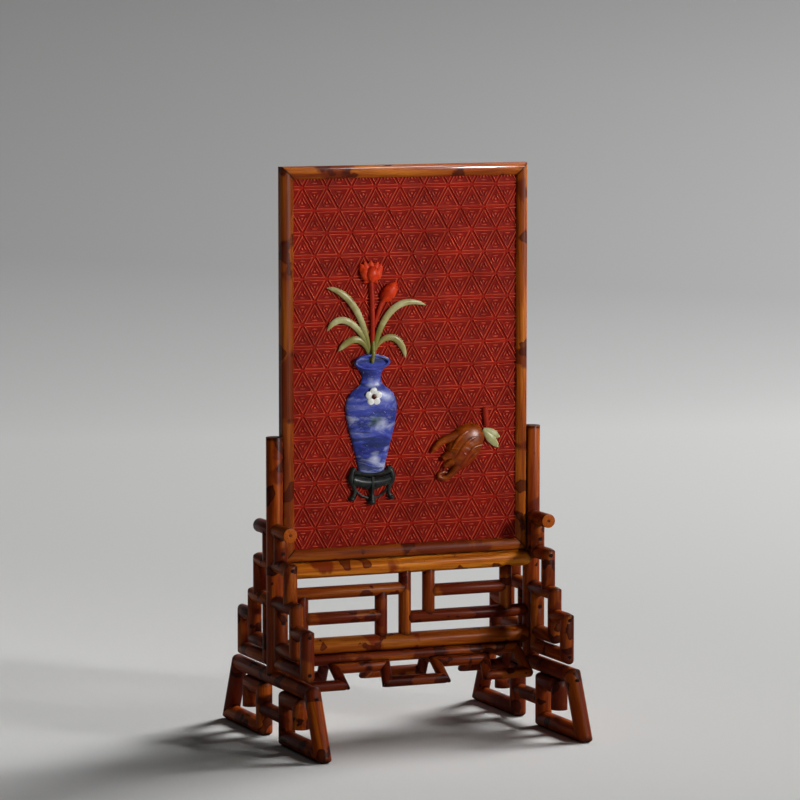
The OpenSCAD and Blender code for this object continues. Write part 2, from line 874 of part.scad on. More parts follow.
// Draws its children at the front, or mirrored to the rear
module at_face(rear) {
    mirror([0, rear ? 1 : 0, 0])
        children();
}

// Top rail of an apron, under the lower rail, mitred to the end rods
module apron_rail() {
    top = post_x - apron_end_top;
    low = post_x - apron_end_low;
    color(red_bamboo)
        mitred_rod(apron(-top, apron_rail_yz), apron(top, apron_rail_yz), apron_d,
            before = apron(-low, apron_low_yz), after = apron(low, apron_low_yz));
}

// Battlement of mitred rods that hangs from the apron rail: end, low, high, low, high, low, end
module apron_fret() {
    middle_top = middle_loop_top;
    middle_low = middle_loop_top + loop_flare;
    side_top = post_x - side_loop_top;
    side_low = side_top - loop_flare;
    end_low = post_x - apron_end_low;
    end_top = post_x - apron_end_top;
    right = [apron(middle_low, apron_low_yz), apron(middle_top, apron_top_yz),
        apron(side_top, apron_top_yz), apron(side_low, apron_low_yz),
        apron(end_low, apron_low_yz), apron(end_top, apron_rail_yz)];
    left = [for (i = [len(right) - 1:-1:0]) [-right[i].x, right[i].y, right[i].z]];
    path = concat([apron(end_top, apron_rail_yz)], left, right, [apron(-end_top, apron_rail_yz)]);
    color(bamboo)
        for (i = [1:len(path) - 3])
            mitred_rod(path[i], path[i + 1], apron_d, before = path[i - 1], after = path[i + 2]);
}

module front_apron_rail() {
    apron_rail();
}

module rear_apron_rail() {
    at_face(true)
        apron_rail();
}

module front_apron_fret() {
    apron_fret();
}

module rear_apron_fret() {
    at_face(true)
        apron_fret();
}

// Places a fret bracket or half a foot at one post, at the front or the rear
module at_corner(side, rear) {
    translate([side * post_x, 0, 0])
        at_face(rear)
            children();
}

// Pegs of one bracket and leg: each enters from the front, heading to the rear
function peg_places() = [
    [inner_out + fret_d / 2, (finger_z + step1_z) / 2 - peg_d],
    [step1_out + fret_d / 2, step1_z],
    [inner_out + fret_d / 2, (step2_z + hook_bar_z) / 2 + peg_d],
    [step3_out + fret_d / 2, step3_z],
    [step3_out + fret_d / 2, bottom_bar_z],
    [leg_face(beam_z - peg_d), beam_z - peg_d]];

module pegs(clearance) {
    for (p = peg_places())
        rod(out(p.x + peg_head, p.y), out(p.x + peg_head - peg_len - clearance, p.y),
            peg_d + 2 * clearance);
}

// Upright rods of a fret bracket, from the post outward
module fret_uprights() {
    corner_i = out(inner_out, bottom_bar_z);
    corner_d = out(step1_out, step1_z);
    corner_f = out(step2_out, step2_z);
    corner_j = out(step2_out, hook_bar_z);
    corner_h = out(step3_out, step3_z);
    corner_k = out(step3_out, bottom_bar_z);
    color(bamboo)
        difference() {
            union() {
                // Post side, between finger and first step
                difference() {
                    rod(out(inner_out, step1_z + end_gap), out(inner_out, finger_z - end_gap), fret_d);
                    clasped(out(0, step1_z), corner_d, fret_d);
                    clasped(out(0, finger_z), out(finger_len, finger_z), fret_d);
                }
                // First step
                difference() {
                    mitred_rod(corner_d, out(step1_out, step2_z + end_gap), fret_d,
                        before = out(0, step1_z));
                    clasped(out(0, step2_z), corner_f, fret_d);
                }
                // Second step
                mitred_rod(corner_f, corner_j, fret_d,
                    before = out(0, step2_z), after = out(0, hook_bar_z));
                // Third step
                mitred_rod(corner_h, corner_k, fret_d, before = out(0, step3_z), after = corner_i);
                // Post side, from the bottom bar up to the second step
                difference() {
                    mitred_rod(corner_i, out(inner_out, step2_z - end_gap), fret_d, before = corner_k);
                    clasped(out(0, step2_z), corner_f, fret_d);
                }
            }
            pegs(seat);
        }
}

// Level rods of a fret bracket, from the top down
module fret_bars() {
    corner_i = out(inner_out, bottom_bar_z);
    corner_d = out(step1_out, step1_z);
    corner_f = out(step2_out, step2_z);
    corner_j = out(step2_out, hook_bar_z);
    corner_h = out(step3_out, step3_z);
    corner_k = out(step3_out, bottom_bar_z);
    color(bamboo)
        difference() {
            union() {
                difference() {
                    union() {
                        rod(out(post_gap, finger_z), out(finger_len, finger_z), fret_d);
                        mitred_rod(out(post_gap, step1_z), corner_d, fret_d,
                            after = out(step1_out, step2_z));
                        mitred_rod(out(post_gap, step2_z), corner_f, fret_d, after = corner_j);
                    }
                    clasped(out(0, bottom_bar_z), out(0, post_top), post_d);
                    rod(out(finger_len + 1, finger_z), out(finger_len - pith_depth, finger_z), pith_d);
                }
                difference() {
                    mitred_rod(out(step2_out + end_gap, step3_z), corner_h, fret_d, after = corner_k);
                    clasped(corner_f, corner_j, fret_d);
                }
                difference() {
                    mitred_rod(out(inner_out + end_gap, hook_bar_z), corner_j, fret_d, after = corner_f);
                    clasped(corner_i, out(inner_out, step2_z), fret_d);
                }
                mitred_rod(corner_i, corner_k, fret_d,
                    before = out(inner_out, step2_z), after = corner_h);
            }
            pegs(seat);
        }
}

// The space in which the panel slides, with its running clearance
module panel_way() {
    translate([-panel_w / 2 - run, -frame_depth / 2 - run, panel_bottom - run])
        cube([panel_w + 2 * run, frame_depth + 2 * run, panel_h]);
}

// Level rods in their place, cut clear of the upper rail's ends and of the panel
module fret_bars_at(side, rear) {
    difference() {
        at_corner(side, rear)
            fret_bars();
        rail(upper_rail_z, upper_rail_d + 2 * seat);
        panel_way();
    }
}

module front_left_fret_uprights() {
    at_corner(-1, false)
        fret_uprights();
}

module front_left_fret_bars() {
    fret_bars_at(-1, false);
}

module rear_left_fret_uprights() {
    at_corner(-1, true)
        fret_uprights();
}

module rear_left_fret_bars() {
    fret_bars_at(-1, true);
}

module front_right_fret_uprights() {
    at_corner(1, false)
        fret_uprights();
}

module front_right_fret_bars() {
    fret_bars_at(1, false);
}

module rear_right_fret_uprights() {
    at_corner(1, true)
        fret_uprights();
}

module rear_right_fret_bars() {
    fret_bars_at(1, true);
}

// Beam of a foot, mitred to the slanted legs at both ends
module foot_beam(side) {
    color(bamboo)
        translate([side * post_x, 0, 0])
            difference() {
                mitred_rod(out(beam_half, beam_z), out(-beam_half, beam_z), beam_d,
                    before = out(leg_out, rail_z), after = out(-leg_out, rail_z));
                for (rear = [false, true])
                    at_face(rear)
                        pegs(seat);
            }
}

module left_foot_beam() {
    foot_beam(-1);
}

module right_foot_beam() {
    foot_beam(1);
}

module leg() {
    color(red_bamboo)
        difference() {
            mitred_rod(out(beam_half, beam_z), out(leg_out, rail_z), foot_d,
                before = out(0, beam_z), after = out(loop_in, rail_z));
            pegs(seat);
            below_table();
        }
}

module below_table() {
    size = 4 * leg_out;
    translate([-size / 2, -size / 2, -size])
        cube(size);
}

// Squared loop inside a foot: floor rail, inner upright, hook bar under the beam, hanging stub
module loop() {
    path = [out(leg_out, rail_z), out(loop_in, rail_z), out(loop_in, loop_top_z),
        out(stub_out, loop_top_z), out(stub_out, stub_low)];
    color(bamboo)
        difference() {
            union() {
                mitred_rod(path[0], path[1], foot_d, before = out(beam_half, beam_z), after = path[2]);
                mitred_rod(path[1], path[2], foot_d, before = path[0], after = path[3]);
                mitred_rod(path[2], path[3], foot_d, before = path[1], after = path[4]);
                mitred_rod(path[3], path[4], foot_d, before = path[2]);
            }
            below_table();
        }
}

// Rod that ties the two loops of a foot, fish-mouthed onto their inner uprights
module cross_rod(side) {
    color(red_bamboo)
        translate([side * post_x, 0, 0])
            difference() {
                rod(out(loop_in - lip * foot_d, cross_z), out(lip * foot_d - loop_in, cross_z), cross_d);
                for (end = [-1, 1])
                    clasped(out(end * loop_in, rail_z), out(end * loop_in, loop_top_z), foot_d);
            }
}

module left_cross_rod() {
    cross_rod(-1);
}

module right_cross_rod() {
    cross_rod(1);
}

module front_left_leg() {
    at_corner(-1, false)
        leg();
}

module rear_left_leg() {
    at_corner(-1, true)
        leg();
}

module front_right_leg() {
    at_corner(1, false)
        leg();
}

module rear_right_leg() {
    at_corner(1, true)
        leg();
}

module front_left_loop() {
    at_corner(-1, false)
        loop();
}

module rear_left_loop() {
    at_corner(-1, true)
        loop();
}

module front_right_loop() {
    at_corner(1, false)
        loop();
}

module rear_right_loop() {
    at_corner(1, true)
        loop();
}

module joint_pegs() {
    color("#3a2416")
        for (side = [-1, 1], rear = [false, true])
            at_corner(side, rear)
                pegs(0);
}

lacquer_board();
frame_top();
frame_bottom();
frame_left();
frame_right();
panel_tongues();
vase();
vase_stand();
vase_blossom();
blossom_centre();
long_leaf_left();
middle_leaf_left();
short_leaf_left();
long_leaf_right();
short_leaf_right();
flower_stem();
flower_bloom();
bud_stem();
flower_bud();
citron_fruit();
citron_stem();
citron_leaf();
left_post();
right_post();
upper_rail();
lower_rail();
lattice_upright_left();
lattice_upright_inner_left();
lattice_upright_middle();
lattice_upright_inner_right();
lattice_upright_right();
lattice_bar_upper_left();
lattice_bar_short_left();
lattice_bar_short_right();
lattice_bar_lower_right();
front_apron_rail();
front_apron_fret();
rear_apron_rail();
rear_apron_fret();
front_left_fret_uprights();
front_left_fret_bars();
rear_left_fret_uprights();
rear_left_fret_bars();
front_right_fret_uprights();
front_right_fret_bars();
rear_right_fret_uprights();
rear_right_fret_bars();
left_foot_beam();
front_left_leg();
rear_left_leg();
front_left_loop();
rear_left_loop();
left_cross_rod();
right_foot_beam();
front_right_leg();
rear_right_leg();
front_right_loop();
rear_right_loop();
right_cross_rod();
joint_pegs();
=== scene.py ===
import json
import math
import random

import bmesh
import bpy
import numpy as np
from mathutils import Matrix, Vector

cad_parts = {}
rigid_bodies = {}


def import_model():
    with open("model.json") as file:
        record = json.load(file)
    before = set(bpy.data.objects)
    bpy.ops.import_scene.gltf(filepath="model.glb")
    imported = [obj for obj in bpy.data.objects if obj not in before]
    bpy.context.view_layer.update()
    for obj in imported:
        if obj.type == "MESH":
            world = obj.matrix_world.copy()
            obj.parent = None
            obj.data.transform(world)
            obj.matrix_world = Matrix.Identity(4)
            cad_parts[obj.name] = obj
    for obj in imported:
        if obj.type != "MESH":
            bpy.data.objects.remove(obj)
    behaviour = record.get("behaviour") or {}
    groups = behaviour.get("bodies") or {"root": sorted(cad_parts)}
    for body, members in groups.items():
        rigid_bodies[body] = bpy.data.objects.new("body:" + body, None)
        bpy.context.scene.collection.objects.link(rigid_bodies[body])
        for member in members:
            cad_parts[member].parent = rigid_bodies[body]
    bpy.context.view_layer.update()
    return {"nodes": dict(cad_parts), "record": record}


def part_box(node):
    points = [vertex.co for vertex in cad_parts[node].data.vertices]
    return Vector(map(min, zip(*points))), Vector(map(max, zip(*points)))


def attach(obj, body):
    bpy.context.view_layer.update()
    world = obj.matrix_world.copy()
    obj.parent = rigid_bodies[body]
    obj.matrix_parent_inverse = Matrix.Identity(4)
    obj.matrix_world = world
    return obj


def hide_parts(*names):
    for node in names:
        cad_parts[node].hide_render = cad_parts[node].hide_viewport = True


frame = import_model()
mm = 0.001
slotOf = {part["node"]: part["material_slot"] for part in frame["record"]["subparts"]}
print("frame loaded:", len(frame["nodes"]), "nodes")


# sRGB hex to the linear colour that sockets take
def hexColor(code):
    parts = [int(code[i:i + 2], 16) / 255 for i in (1, 3, 5)]
    return [c / 12.92 if c <= 0.04045 else ((c + 0.055) / 1.055) ** 2.4 for c in parts] + [1]


# one shader node: settings by name, ramp stops, then inputs that are values or other sockets
def addNode(tree, kind, inputs=None, stops=(), **settings):
    node = tree.nodes.new("ShaderNode" + kind)
    for name, value in settings.items():
        setattr(node, name, value)
    for i, (place, color) in enumerate(stops):
        stop = node.color_ramp.elements[i] if i < 2 else node.color_ramp.elements.new(place)
        stop.position = place
        stop.color = hexColor(color)
    for name, value in (inputs or {}).items():
        if isinstance(value, bpy.types.NodeSocket):
            tree.links.new(value, node.inputs[name])
        else:
            node.inputs[name].default_value = value
    return node


# short forms of the nodes that come up most, each giving the output that is used
def colorRamp(tree, factor, stops):
    return addNode(tree, "ValToRGB", {"Fac": factor}, stops).outputs["Color"]


def mapRange(tree, value, fromMin, fromMax, toMin=0, toMax=1):
    limits = {"From Min": fromMin, "From Max": fromMax, "To Min": toMin, "To Max": toMax}
    return addNode(tree, "MapRange", {"Value": value, **limits}).outputs["Result"]


def doMath(tree, operation, *values):
    return addNode(tree, "Math", dict(enumerate(values)), operation=operation).outputs["Value"]


def stretched(tree, vector, scale, **more):
    return addNode(tree, "Mapping", {"Vector": vector, "Scale": scale, **more}).outputs["Vector"]


def noise(tree, vector, scale, detail, **more):
    inputs = {"Vector": vector, "Scale": scale, "Detail": detail, **more}
    return addNode(tree, "TexNoise", inputs).outputs["Fac"]


def bumpOf(tree, strength, deep, height, **more):
    inputs = {"Strength": strength, "Distance": deep * mm, "Height": height, **more}
    return addNode(tree, "Bump", inputs).outputs["Normal"]


def mixColor(tree, how, factor, first, second):
    node = addNode(tree, "Mix", data_type="RGBA", blend_type=how)
    for socket, value in ((node.inputs[0], factor), (node.inputs[6], first), (node.inputs[7], second)):
        if isinstance(value, bpy.types.NodeSocket):
            tree.links.new(value, socket)
        else:
            socket.default_value = value
    return node.outputs[2]


# empty material with its shader, ready for sockets
def startMaterial(name, **fixed):
    material = bpy.data.materials.new(name)
    material.use_nodes = True
    tree = material.node_tree
    shader = tree.nodes["Principled BSDF"]
    for key, value in fixed.items():
        shader.inputs[key.replace("_", " ")].default_value = value
    return material, tree, shader


def plugIn(tree, shader, color, rough, normal):
    for name, socket in (("Base Color", color), ("Roughness", rough), ("Normal", normal)):
        tree.links.new(socket, shader.inputs[name])


# polished speckled bamboo: warm skin, long fibre streaks, sparse purple-brown clouds with a darker rim
def makeBamboo(name, look):
    material, tree, shader = startMaterial(name, Coat_Weight=look["polish"], Coat_Roughness=0.14,
                                           Specular_IOR_Level=0.13)
    grain = addNode(tree, "Attribute", attribute_name="grain").outputs["Vector"]
    tone = addNode(tree, "Attribute", attribute_name="tone").outputs["Fac"]
    cut = addNode(tree, "Attribute", attribute_name="cut").outputs["Fac"]
    reach = addNode(tree, "Attribute", attribute_name="span").outputs["Vector"]
    span = addNode(tree, "SeparateXYZ", {"Vector": reach}).outputs
    # fibres 0.4 mm wide and a few centimetres long, over bands 4 mm wide
    fibre = noise(tree, stretched(tree, grain, (2400, 2400, 30)), 1, 3, Roughness=0.6)
    band = noise(tree, stretched(tree, grain, (240, 240, 14)), 1, 3)
    skin = colorRamp(tree, band, [(0.34, look["dark"]), (0.5, look["mid"]), (0.66, look["light"])])
    streak = colorRamp(tree, fibre, [(0.3, "#90786a"), (0.56, "#ffffff")])
    skin = mixColor(tree, "MULTIPLY", 0.48, skin, streak)
    # wider streaks, 2 mm, that start and stop
    wide = noise(tree, stretched(tree, grain, (520, 520, 45)), 1, 2)
    stripe = colorRamp(tree, wide, [(0.34, "#8a6450"), (0.5, "#ffffff")])
    skin = mixColor(tree, "MULTIPLY", 0.42, skin, stripe)
    # lighter or darker, and redder when dark, by the rod's tone, its own colour and for a few pieces also
    # painted light and shade
    bright = mapRange(tree, tone, 0, 1, 1 - look["spread"], 1 + look["spread"])
    skin = addNode(tree, "HueSaturation", {"Color": skin, "Value": bright}).outputs["Color"]
    ruddy = mapRange(tree, tone, 0, 1, 0.45, 0)
    skin = mixColor(tree, "MIX", ruddy, skin, hexColor(look["blush"]))
    # reddened lengths, several centimetres long
    blush = noise(tree, stretched(tree, grain, (14, 14, 24)), 1, 4, Roughness=0.45, Distortion=0.3)
    redden = colorRamp(tree, blush, [(look["red"], "#000000"), (look["red"] + 0.025, "#f0f0f0")])
    blushed = mixColor(tree, "MULTIPLY", 0.5, hexColor(look["blush"]), streak)
    skin = mixColor(tree, "MIX", redden, skin, blushed)
    # clouds 5 to 15 mm across, darker at the rim
    cloud = noise(tree, grain, 62, 3, Roughness=0.4, Distortion=0.15)
    lower = look["clouds"]
    rim = lower + look.get("rim", 0.014)
    patch = colorRamp(tree, cloud, [(lower, "#000000"), (rim, "#ffffff"), (lower + 0.06, "#e6e6e6")])
    skin = mixColor(tree, "MIX", patch, skin, hexColor(look["stain"]))
    # pin-head specks, 1 mm
    speck = noise(tree, grain, 560, 2)
    dots = colorRamp(tree, speck, [(0.7, "#000000"), (0.75, "#a0a0a0")])
    skin = mixColor(tree, "MIX", dots, skin, hexColor("#2a120b"))
    # darker in the last millimetres before a joint, with a ragged border
    along = doMath(tree, "ABSOLUTE", span["X"])
    ragged = doMath(tree, "MULTIPLY_ADD", speck, 4 * mm, along)
    fromRagged = doMath(tree, "SUBTRACT", span["Y"], ragged)
    grime = mapRange(tree, fromRagged, -1.5 * mm, 1.4 * mm, look.get("grime", 0.72), 0)
    skin = mixColor(tree, "MIX", grime, skin, hexColor("#260e06"))
    # scored line round a post below its top
    fromEnd = doMath(tree, "SUBTRACT", span["Y"], along)
    if "ring" in look:
        ring = doMath(tree, "COMPARE", fromEnd, look["ring"] * mm, 0.3 * mm)
        skin = mixColor(tree, "MIX", ring, skin, hexColor("#240c05"))
    # cut ends: open orange fibre
    pores = addNode(tree, "TexVoronoi", {"Vector": grain, "Scale": 1900}).outputs["Distance"]
    endColor = colorRamp(tree, pores, [(0.1, "#6a2a06"), (0.5, "#b4560f")])
    skin = mixColor(tree, "MIX", cut, skin, endColor)
    # line of the mitre in a moulding
    if "mitre" in look:
        line = mapRange(tree, fromEnd, 0.5 * look["mitre"] * mm, look["mitre"] * mm, 0.92, 0)
        skin = mixColor(tree, "MIX", line, skin, hexColor("#1c0a04"))
    # painted shade in the crevices where rods meet, 2 mm deep, darker the more closed in a point is
    openness = addNode(tree, "AmbientOcclusion", {"Distance": 2.2 * mm}, samples=6).outputs["AO"]
    paintedShade = mapRange(tree, openness, 0.3, 0.72, 0.8, 0)
    skin = mixColor(tree, "MIX", paintedShade, skin, hexColor("#1c0a05"))
    rough = mapRange(tree, fibre, 0, 1, look["gloss"], look["gloss"] + 0.14)
    # uneven growth that makes the gloss wander, then the fibres
    wave = bumpOf(tree, 0.45, 0.6, band)
    plugIn(tree, shader, skin, rough, bumpOf(tree, 0.4, 0.1, fibre, Normal=wave))
    return material


# carved red lacquer with painted shade in the dishes, a painted highlight on the crests and grooves painted
# lighter against their shade, with a plain brushed back
def makeLacquer(look):
    material, tree, shader = startMaterial("red_lacquer_carved", Specular_IOR_Level=0.07)
    spot = addNode(tree, "TexCoord").outputs["Object"]
    depth = addNode(tree, "SeparateXYZ", {"Vector": spot}).outputs["Y"]
    height = mapRange(tree, depth, -1.2 * mm, -2.06 * mm)
    # colour by depth is painted light: grooves lighter to offset their shade, dishes darker as shade, crests
    # light as a highlight
    base = colorRamp(tree, height, [(0.06, look["groove"]), (0.1, look["dish"]), (0.36, look["dish"]),
                                    (0.6, look["face"]), (0.88, look["crest"])])
    mottle = noise(tree, spot, 42, 5, Roughness=0.6)
    shade = colorRamp(tree, mottle, [(0.3, "#a89a96"), (0.65, "#ffffff")])
    base = mixColor(tree, "MULTIPLY", 0.6, base, shade)
    fine = noise(tree, spot, 900, 3)
    dust = colorRamp(tree, fine, [(0.58, "#000000"), (0.75, "#4a4a4a")])
    base = mixColor(tree, "MIX", dust, base, hexColor(look["worn"]))
    # brushed coats on the back, strokes 3 mm wide that run upwards, and darker rubbed patches
    back = mapRange(tree, depth, 0.5 * mm, 0.6 * mm)
    brush = noise(tree, stretched(tree, spot, (330, 1, 16)), 1, 4, Distortion=0.2)
    strokes = colorRamp(tree, brush, [(0.36, "#8c7a74"), (0.6, "#ffffff")])
    coats = mixColor(tree, "MULTIPLY", 0.35, base, strokes)
    rubbed = colorRamp(tree, mottle, [(0.56, "#000000"), (0.66, "#8a8a8a")])
    coats = mixColor(tree, "MIX", rubbed, coats, hexColor(look["rubbed"]))
    base = mixColor(tree, "MIX", back, base, coats)
    rough = mapRange(tree, mottle, 0, 1, 0.36, 0.6)
    plugIn(tree, shader, base, rough, bumpOf(tree, 0.3, 0.1, fine))
    return material


# polished hardstone: clouds of colour, streaks in one direction, small flecks
def makeStone(name, look):
    material, tree, shader = startMaterial(name, Coat_Weight=0.04, Coat_Roughness=0.2,
                                           Specular_IOR_Level=look.get("shine", 0.3))
    spot = addNode(tree, "TexCoord").outputs["Object"]
    lie = stretched(tree, spot, look["stretch"], Rotation=look.get("turn", (0, 0, 0)))
    cloud = noise(tree, lie, 1, 6, Roughness=0.6, Distortion=look.get("swirl", 0.6))
    color = colorRamp(tree, cloud, look["stops"])
    fleck = noise(tree, spot, 780, 3, Roughness=0.7)
    chips = colorRamp(tree, fleck, [(look["fleckAt"], "#000000"), (look["fleckAt"] + 0.07, "#b0b0b0")])
    color = mixColor(tree, "MIX", chips, color, hexColor(look["fleck"]))
    # patches of another colour with a soft border: stretch, threshold, border, colour
    for size, start, width, patchColor in look.get("patches", ()):
        lie = stretched(tree, spot, size, Location=(start, 0, start))
        stain = noise(tree, lie, 1, 5, Roughness=0.6, Distortion=0.5)
        where = colorRamp(tree, stain, [(start, "#000000"), (start + width, "#e0e0e0")])
        color = mixColor(tree, "MIX", where, color, hexColor(patchColor))
    # single ragged marks: place across and up and radius in mm, colour
    flat = stretched(tree, spot, (1, 0, 1))
    for (x, z), radius, markColor in look.get("marks", ()):
        away = addNode(tree, "VectorMath", {0: flat, 1: (x * mm, 0, z * mm)}, operation="DISTANCE")
        ragged = doMath(tree, "MULTIPLY_ADD", cloud, 2.6 * radius * mm, away.outputs["Value"])
        mark = mapRange(tree, ragged, 1.2 * radius * mm, 2.2 * radius * mm, 0.85, 0)
        color = mixColor(tree, "MIX", mark, color, hexColor(markColor))
    rough = mapRange(tree, cloud, 0, 1, look["gloss"], look["gloss"] + 0.15)
    plugIn(tree, shader, color, rough, bumpOf(tree, 0.2, 0.1, fleck))
    return material


# bamboo by place: skin colours, thresholds of reddened lengths and clouds (lower is more), spread of tone
bambooLooks = {
    "frame_bamboo": dict(dark="#863a0a", mid="#ac5410", light="#cc761e", blush="#6c250a", stain="#481607",
                         red=0.585, clouds=0.6, spread=0.14, polish=0, gloss=0.38, mitre=0.6, grime=0.25,
                         rim=0.035),
    "plain_bamboo": dict(dark="#5a260a", mid="#763c12", light="#8a4e18", blush="#5a240c", stain="#3a160a",
                         red=0.7, clouds=0.72, spread=0.05, polish=0.02, gloss=0.45),
    "post_bamboo": dict(dark="#863208", mid="#ac480c", light="#cc6616", blush="#6c2108", stain="#3c1006",
                        red=0.55, clouds=0.62, spread=0.12, polish=0.015, gloss=0.3, ring=1.4),
    "rail_bamboo": dict(dark="#a85414", mid="#cc7018", light="#e8922c", blush="#882c0e", stain="#5c1b0a",
                        red=0.59, clouds=0.6, spread=0.1, polish=0.015, gloss=0.3),
    "lattice_bamboo": dict(dark="#82340a", mid="#a24910", light="#c06a1a", blush="#6a200c", stain="#46120a",
                           red=0.48, clouds=0.61, spread=0.1, polish=0.015, gloss=0.3),
    "apron_bamboo": dict(dark="#782a0a", mid="#98400f", light="#b85e18", blush="#601c0a", stain="#3a0f08",
                         red=0.49, clouds=0.62, spread=0.1, polish=0.015, gloss=0.3),
    "fret_bamboo": dict(dark="#7a2f09", mid="#9e460f", light="#be6519", blush="#6a220a", stain="#3a1108",
                        red=0.54, clouds=0.61, spread=0.1, polish=0.015, gloss=0.3),
    "foot_bamboo": dict(dark="#802f09", mid="#a6460e", light="#c66517", blush="#68210a", stain="#381007",
                        red=0.54, clouds=0.61, spread=0.2, polish=0.015, gloss=0.32),
    "peg_bamboo": dict(dark="#2a120a", mid="#351a0e", light="#472614", blush="#2c140a", stain="#20100a",
                       red=0.6, clouds=0.66, spread=0.1, polish=0.02, gloss=0.35),
}
# the frame's top edge, rubbed bright by hands
bambooLooks["waxed_bamboo"] = dict(bambooLooks["frame_bamboo"], polish=0.7)
materials = {name: makeBamboo(name + "_polished", look) for name, look in bambooLooks.items()}
# lacquer colours: groove painted lighter against its shade, dish painted dark as shade, crest painted light
# as a highlight, then worn specks and rubbed patches on the back
lacquerLook = dict(groove="#a81b08", dish="#8c1306", face="#9c1807", crest="#d0543a", worn="#a4260f",
                   rubbed="#5a1208")
materials["red_lacquer"] = makeLacquer(lacquerLook)
stoneLooks = {
    "blue_stone": dict(stops=[(0.26, "#1b204e"), (0.44, "#323a8a"), (0.56, "#444faa"), (0.68, "#676fb2"),
                              (0.8, "#b8bdd0")],
                       stretch=(55, 60, 170), turn=(0, 0.05, 0), fleck="#d5d8e4", fleckAt=0.64, gloss=0.24,
                       patches=[((45, 45, 80), 0.54, 0.14, "#c2c7de"),
                                ((34, 34, 190), 0.6, 0.04, "#26324c")],
                       marks=[((-24.3, 193.5), 5, "#d5d9e8"), ((-14.5, 237), 6, "#aeb6da"),
                              ((-27, 246), 4, "#a4acd6"), ((-25, 221), 7, "#1f403a")]),
    "dark_stone": dict(stops=[(0.35, "#1a1e1c"), (0.55, "#2c302d"), (0.75, "#454844")],
                       stretch=(160, 160, 160), fleck="#6a6c66", fleckAt=0.7, gloss=0.26),
    "white_stone": dict(stops=[(0.35, "#d4d3cd"), (0.6, "#f0efea")], stretch=(180, 180, 180),
                        fleck="#f6f5f1", fleckAt=0.62, gloss=0.22),
    "brown_stone": dict(stops=[(0.35, "#45190c"), (0.65, "#6f2c16")], stretch=(300, 300, 300),
                        fleck="#8a4426", fleckAt=0.66, gloss=0.2),
    "green_stone": dict(stops=[(0.3, "#84764a"), (0.48, "#a3975f"), (0.64, "#b4ae7c"), (0.8, "#c6c59c")],
                        stretch=(90, 90, 60), fleck="#d5d4b4", fleckAt=0.66, gloss=0.24,
                        patches=[((45, 45, 45), 0.64, 0.08, "#8a6238")],
                        marks=[((-26.5, 268), 30, "#77742c")]),
    "red_stone": dict(stops=[(0.3, "#b0240a"), (0.52, "#d2380e"), (0.75, "#e2562a")],
                      stretch=(150, 150, 150), fleck="#dc6a3c", fleckAt=0.7, gloss=0.42, shine=0.16),
    "deep_red_stone": dict(stops=[(0.3, "#8c1c0a"), (0.55, "#aa280e"), (0.75, "#bc4020")],
                           stretch=(150, 150, 150), fleck="#c65a34", fleckAt=0.7, gloss=0.4, shine=0.16),
    "amber_stone": dict(stops=[(0.28, "#5a2203"), (0.45, "#7e3405"), (0.6, "#9a4606"), (0.78, "#ae5c0e")],
                        stretch=(70, 70, 160), turn=(0, 0.6, 0), swirl=1.4, fleck="#c07c34", fleckAt=0.72,
                        gloss=0.24, shine=0.3, patches=[((34, 34, 34), 0.5, 0.12, "#86280c")]),
    "pale_green_stone": dict(stops=[(0.3, "#98945c"), (0.55, "#b4b27c"), (0.75, "#cac99e")],
                             stretch=(120, 120, 120), fleck="#d9d8ba", fleckAt=0.66, gloss=0.24),
}
for slotName, look in stoneLooks.items():
    materials[slotName] = makeStone(slotName + "_polished", look)
print("materials made:", len(materials))


# hands a finished piece to its body, slot and material; look is a material other than the slot's own
def place(piece, body, slotName, *stands, look=None):
    piece.data.materials.clear()
    piece.data.materials.append(materials[look or slotName])
    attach(piece, body)
    if stands:
        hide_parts(*stands)


def onlySelect(piece):
    bpy.ops.object.select_all(action="DESELECT")
    piece.select_set(True)
    bpy.context.view_layer.objects.active = piece


def applyModifier(piece, kind, **settings):
    onlySelect(piece)
    modifier = piece.modifiers.new(kind.lower(), kind)
    for name, value in settings.items():
        setattr(modifier, name, value)
    bpy.ops.object.modifier_apply(modifier=modifier.name)


def smoothBy(piece, degrees):
    onlySelect(piece)
    bpy.ops.object.shade_smooth_by_angle(angle=math.radians(degrees))


def joinAll(first, *others):
    bpy.ops.object.select_all(action="DESELECT")
    for piece in (first,) + others:
        piece.select_set(True)
    bpy.context.view_layer.objects.active = first
    bpy.ops.object.join()
    return first


# islands of a merged mesh, one for each rod
def looseRods(mesh):
    left = set(mesh.verts)
    while left:
        rod, edge = set(), [next(iter(sorted(left, key=lambda v: v.index)))]
        while edge:
            vert = edge.pop()
            if vert in rod:
                continue
            rod.add(vert)
            edge += [e.other_vert(vert) for e in vert.link_edges]
        left -= rod
        yield sorted(rod, key=lambda v: v.index)


# a rod's length: the direction that its faces look along least
def rodAxis(faces):
    spread = sum((np.outer(f.normal, f.normal) * f.calc_area() for f in faces), np.zeros((3, 3)))
    axes = np.linalg.eigh(spread)[1]
    return Vector(axes[:, 0])


# wear of the mitres: slopes, least width and least area (in widths squared) of an end face, rings of edges
# near the tip, depth of the wear
wear = dict(slopes=(0.4, 0.96), wide=3, full=2.5, rings=(0, 0.3, 0.55, 0.8), depth=0.85)


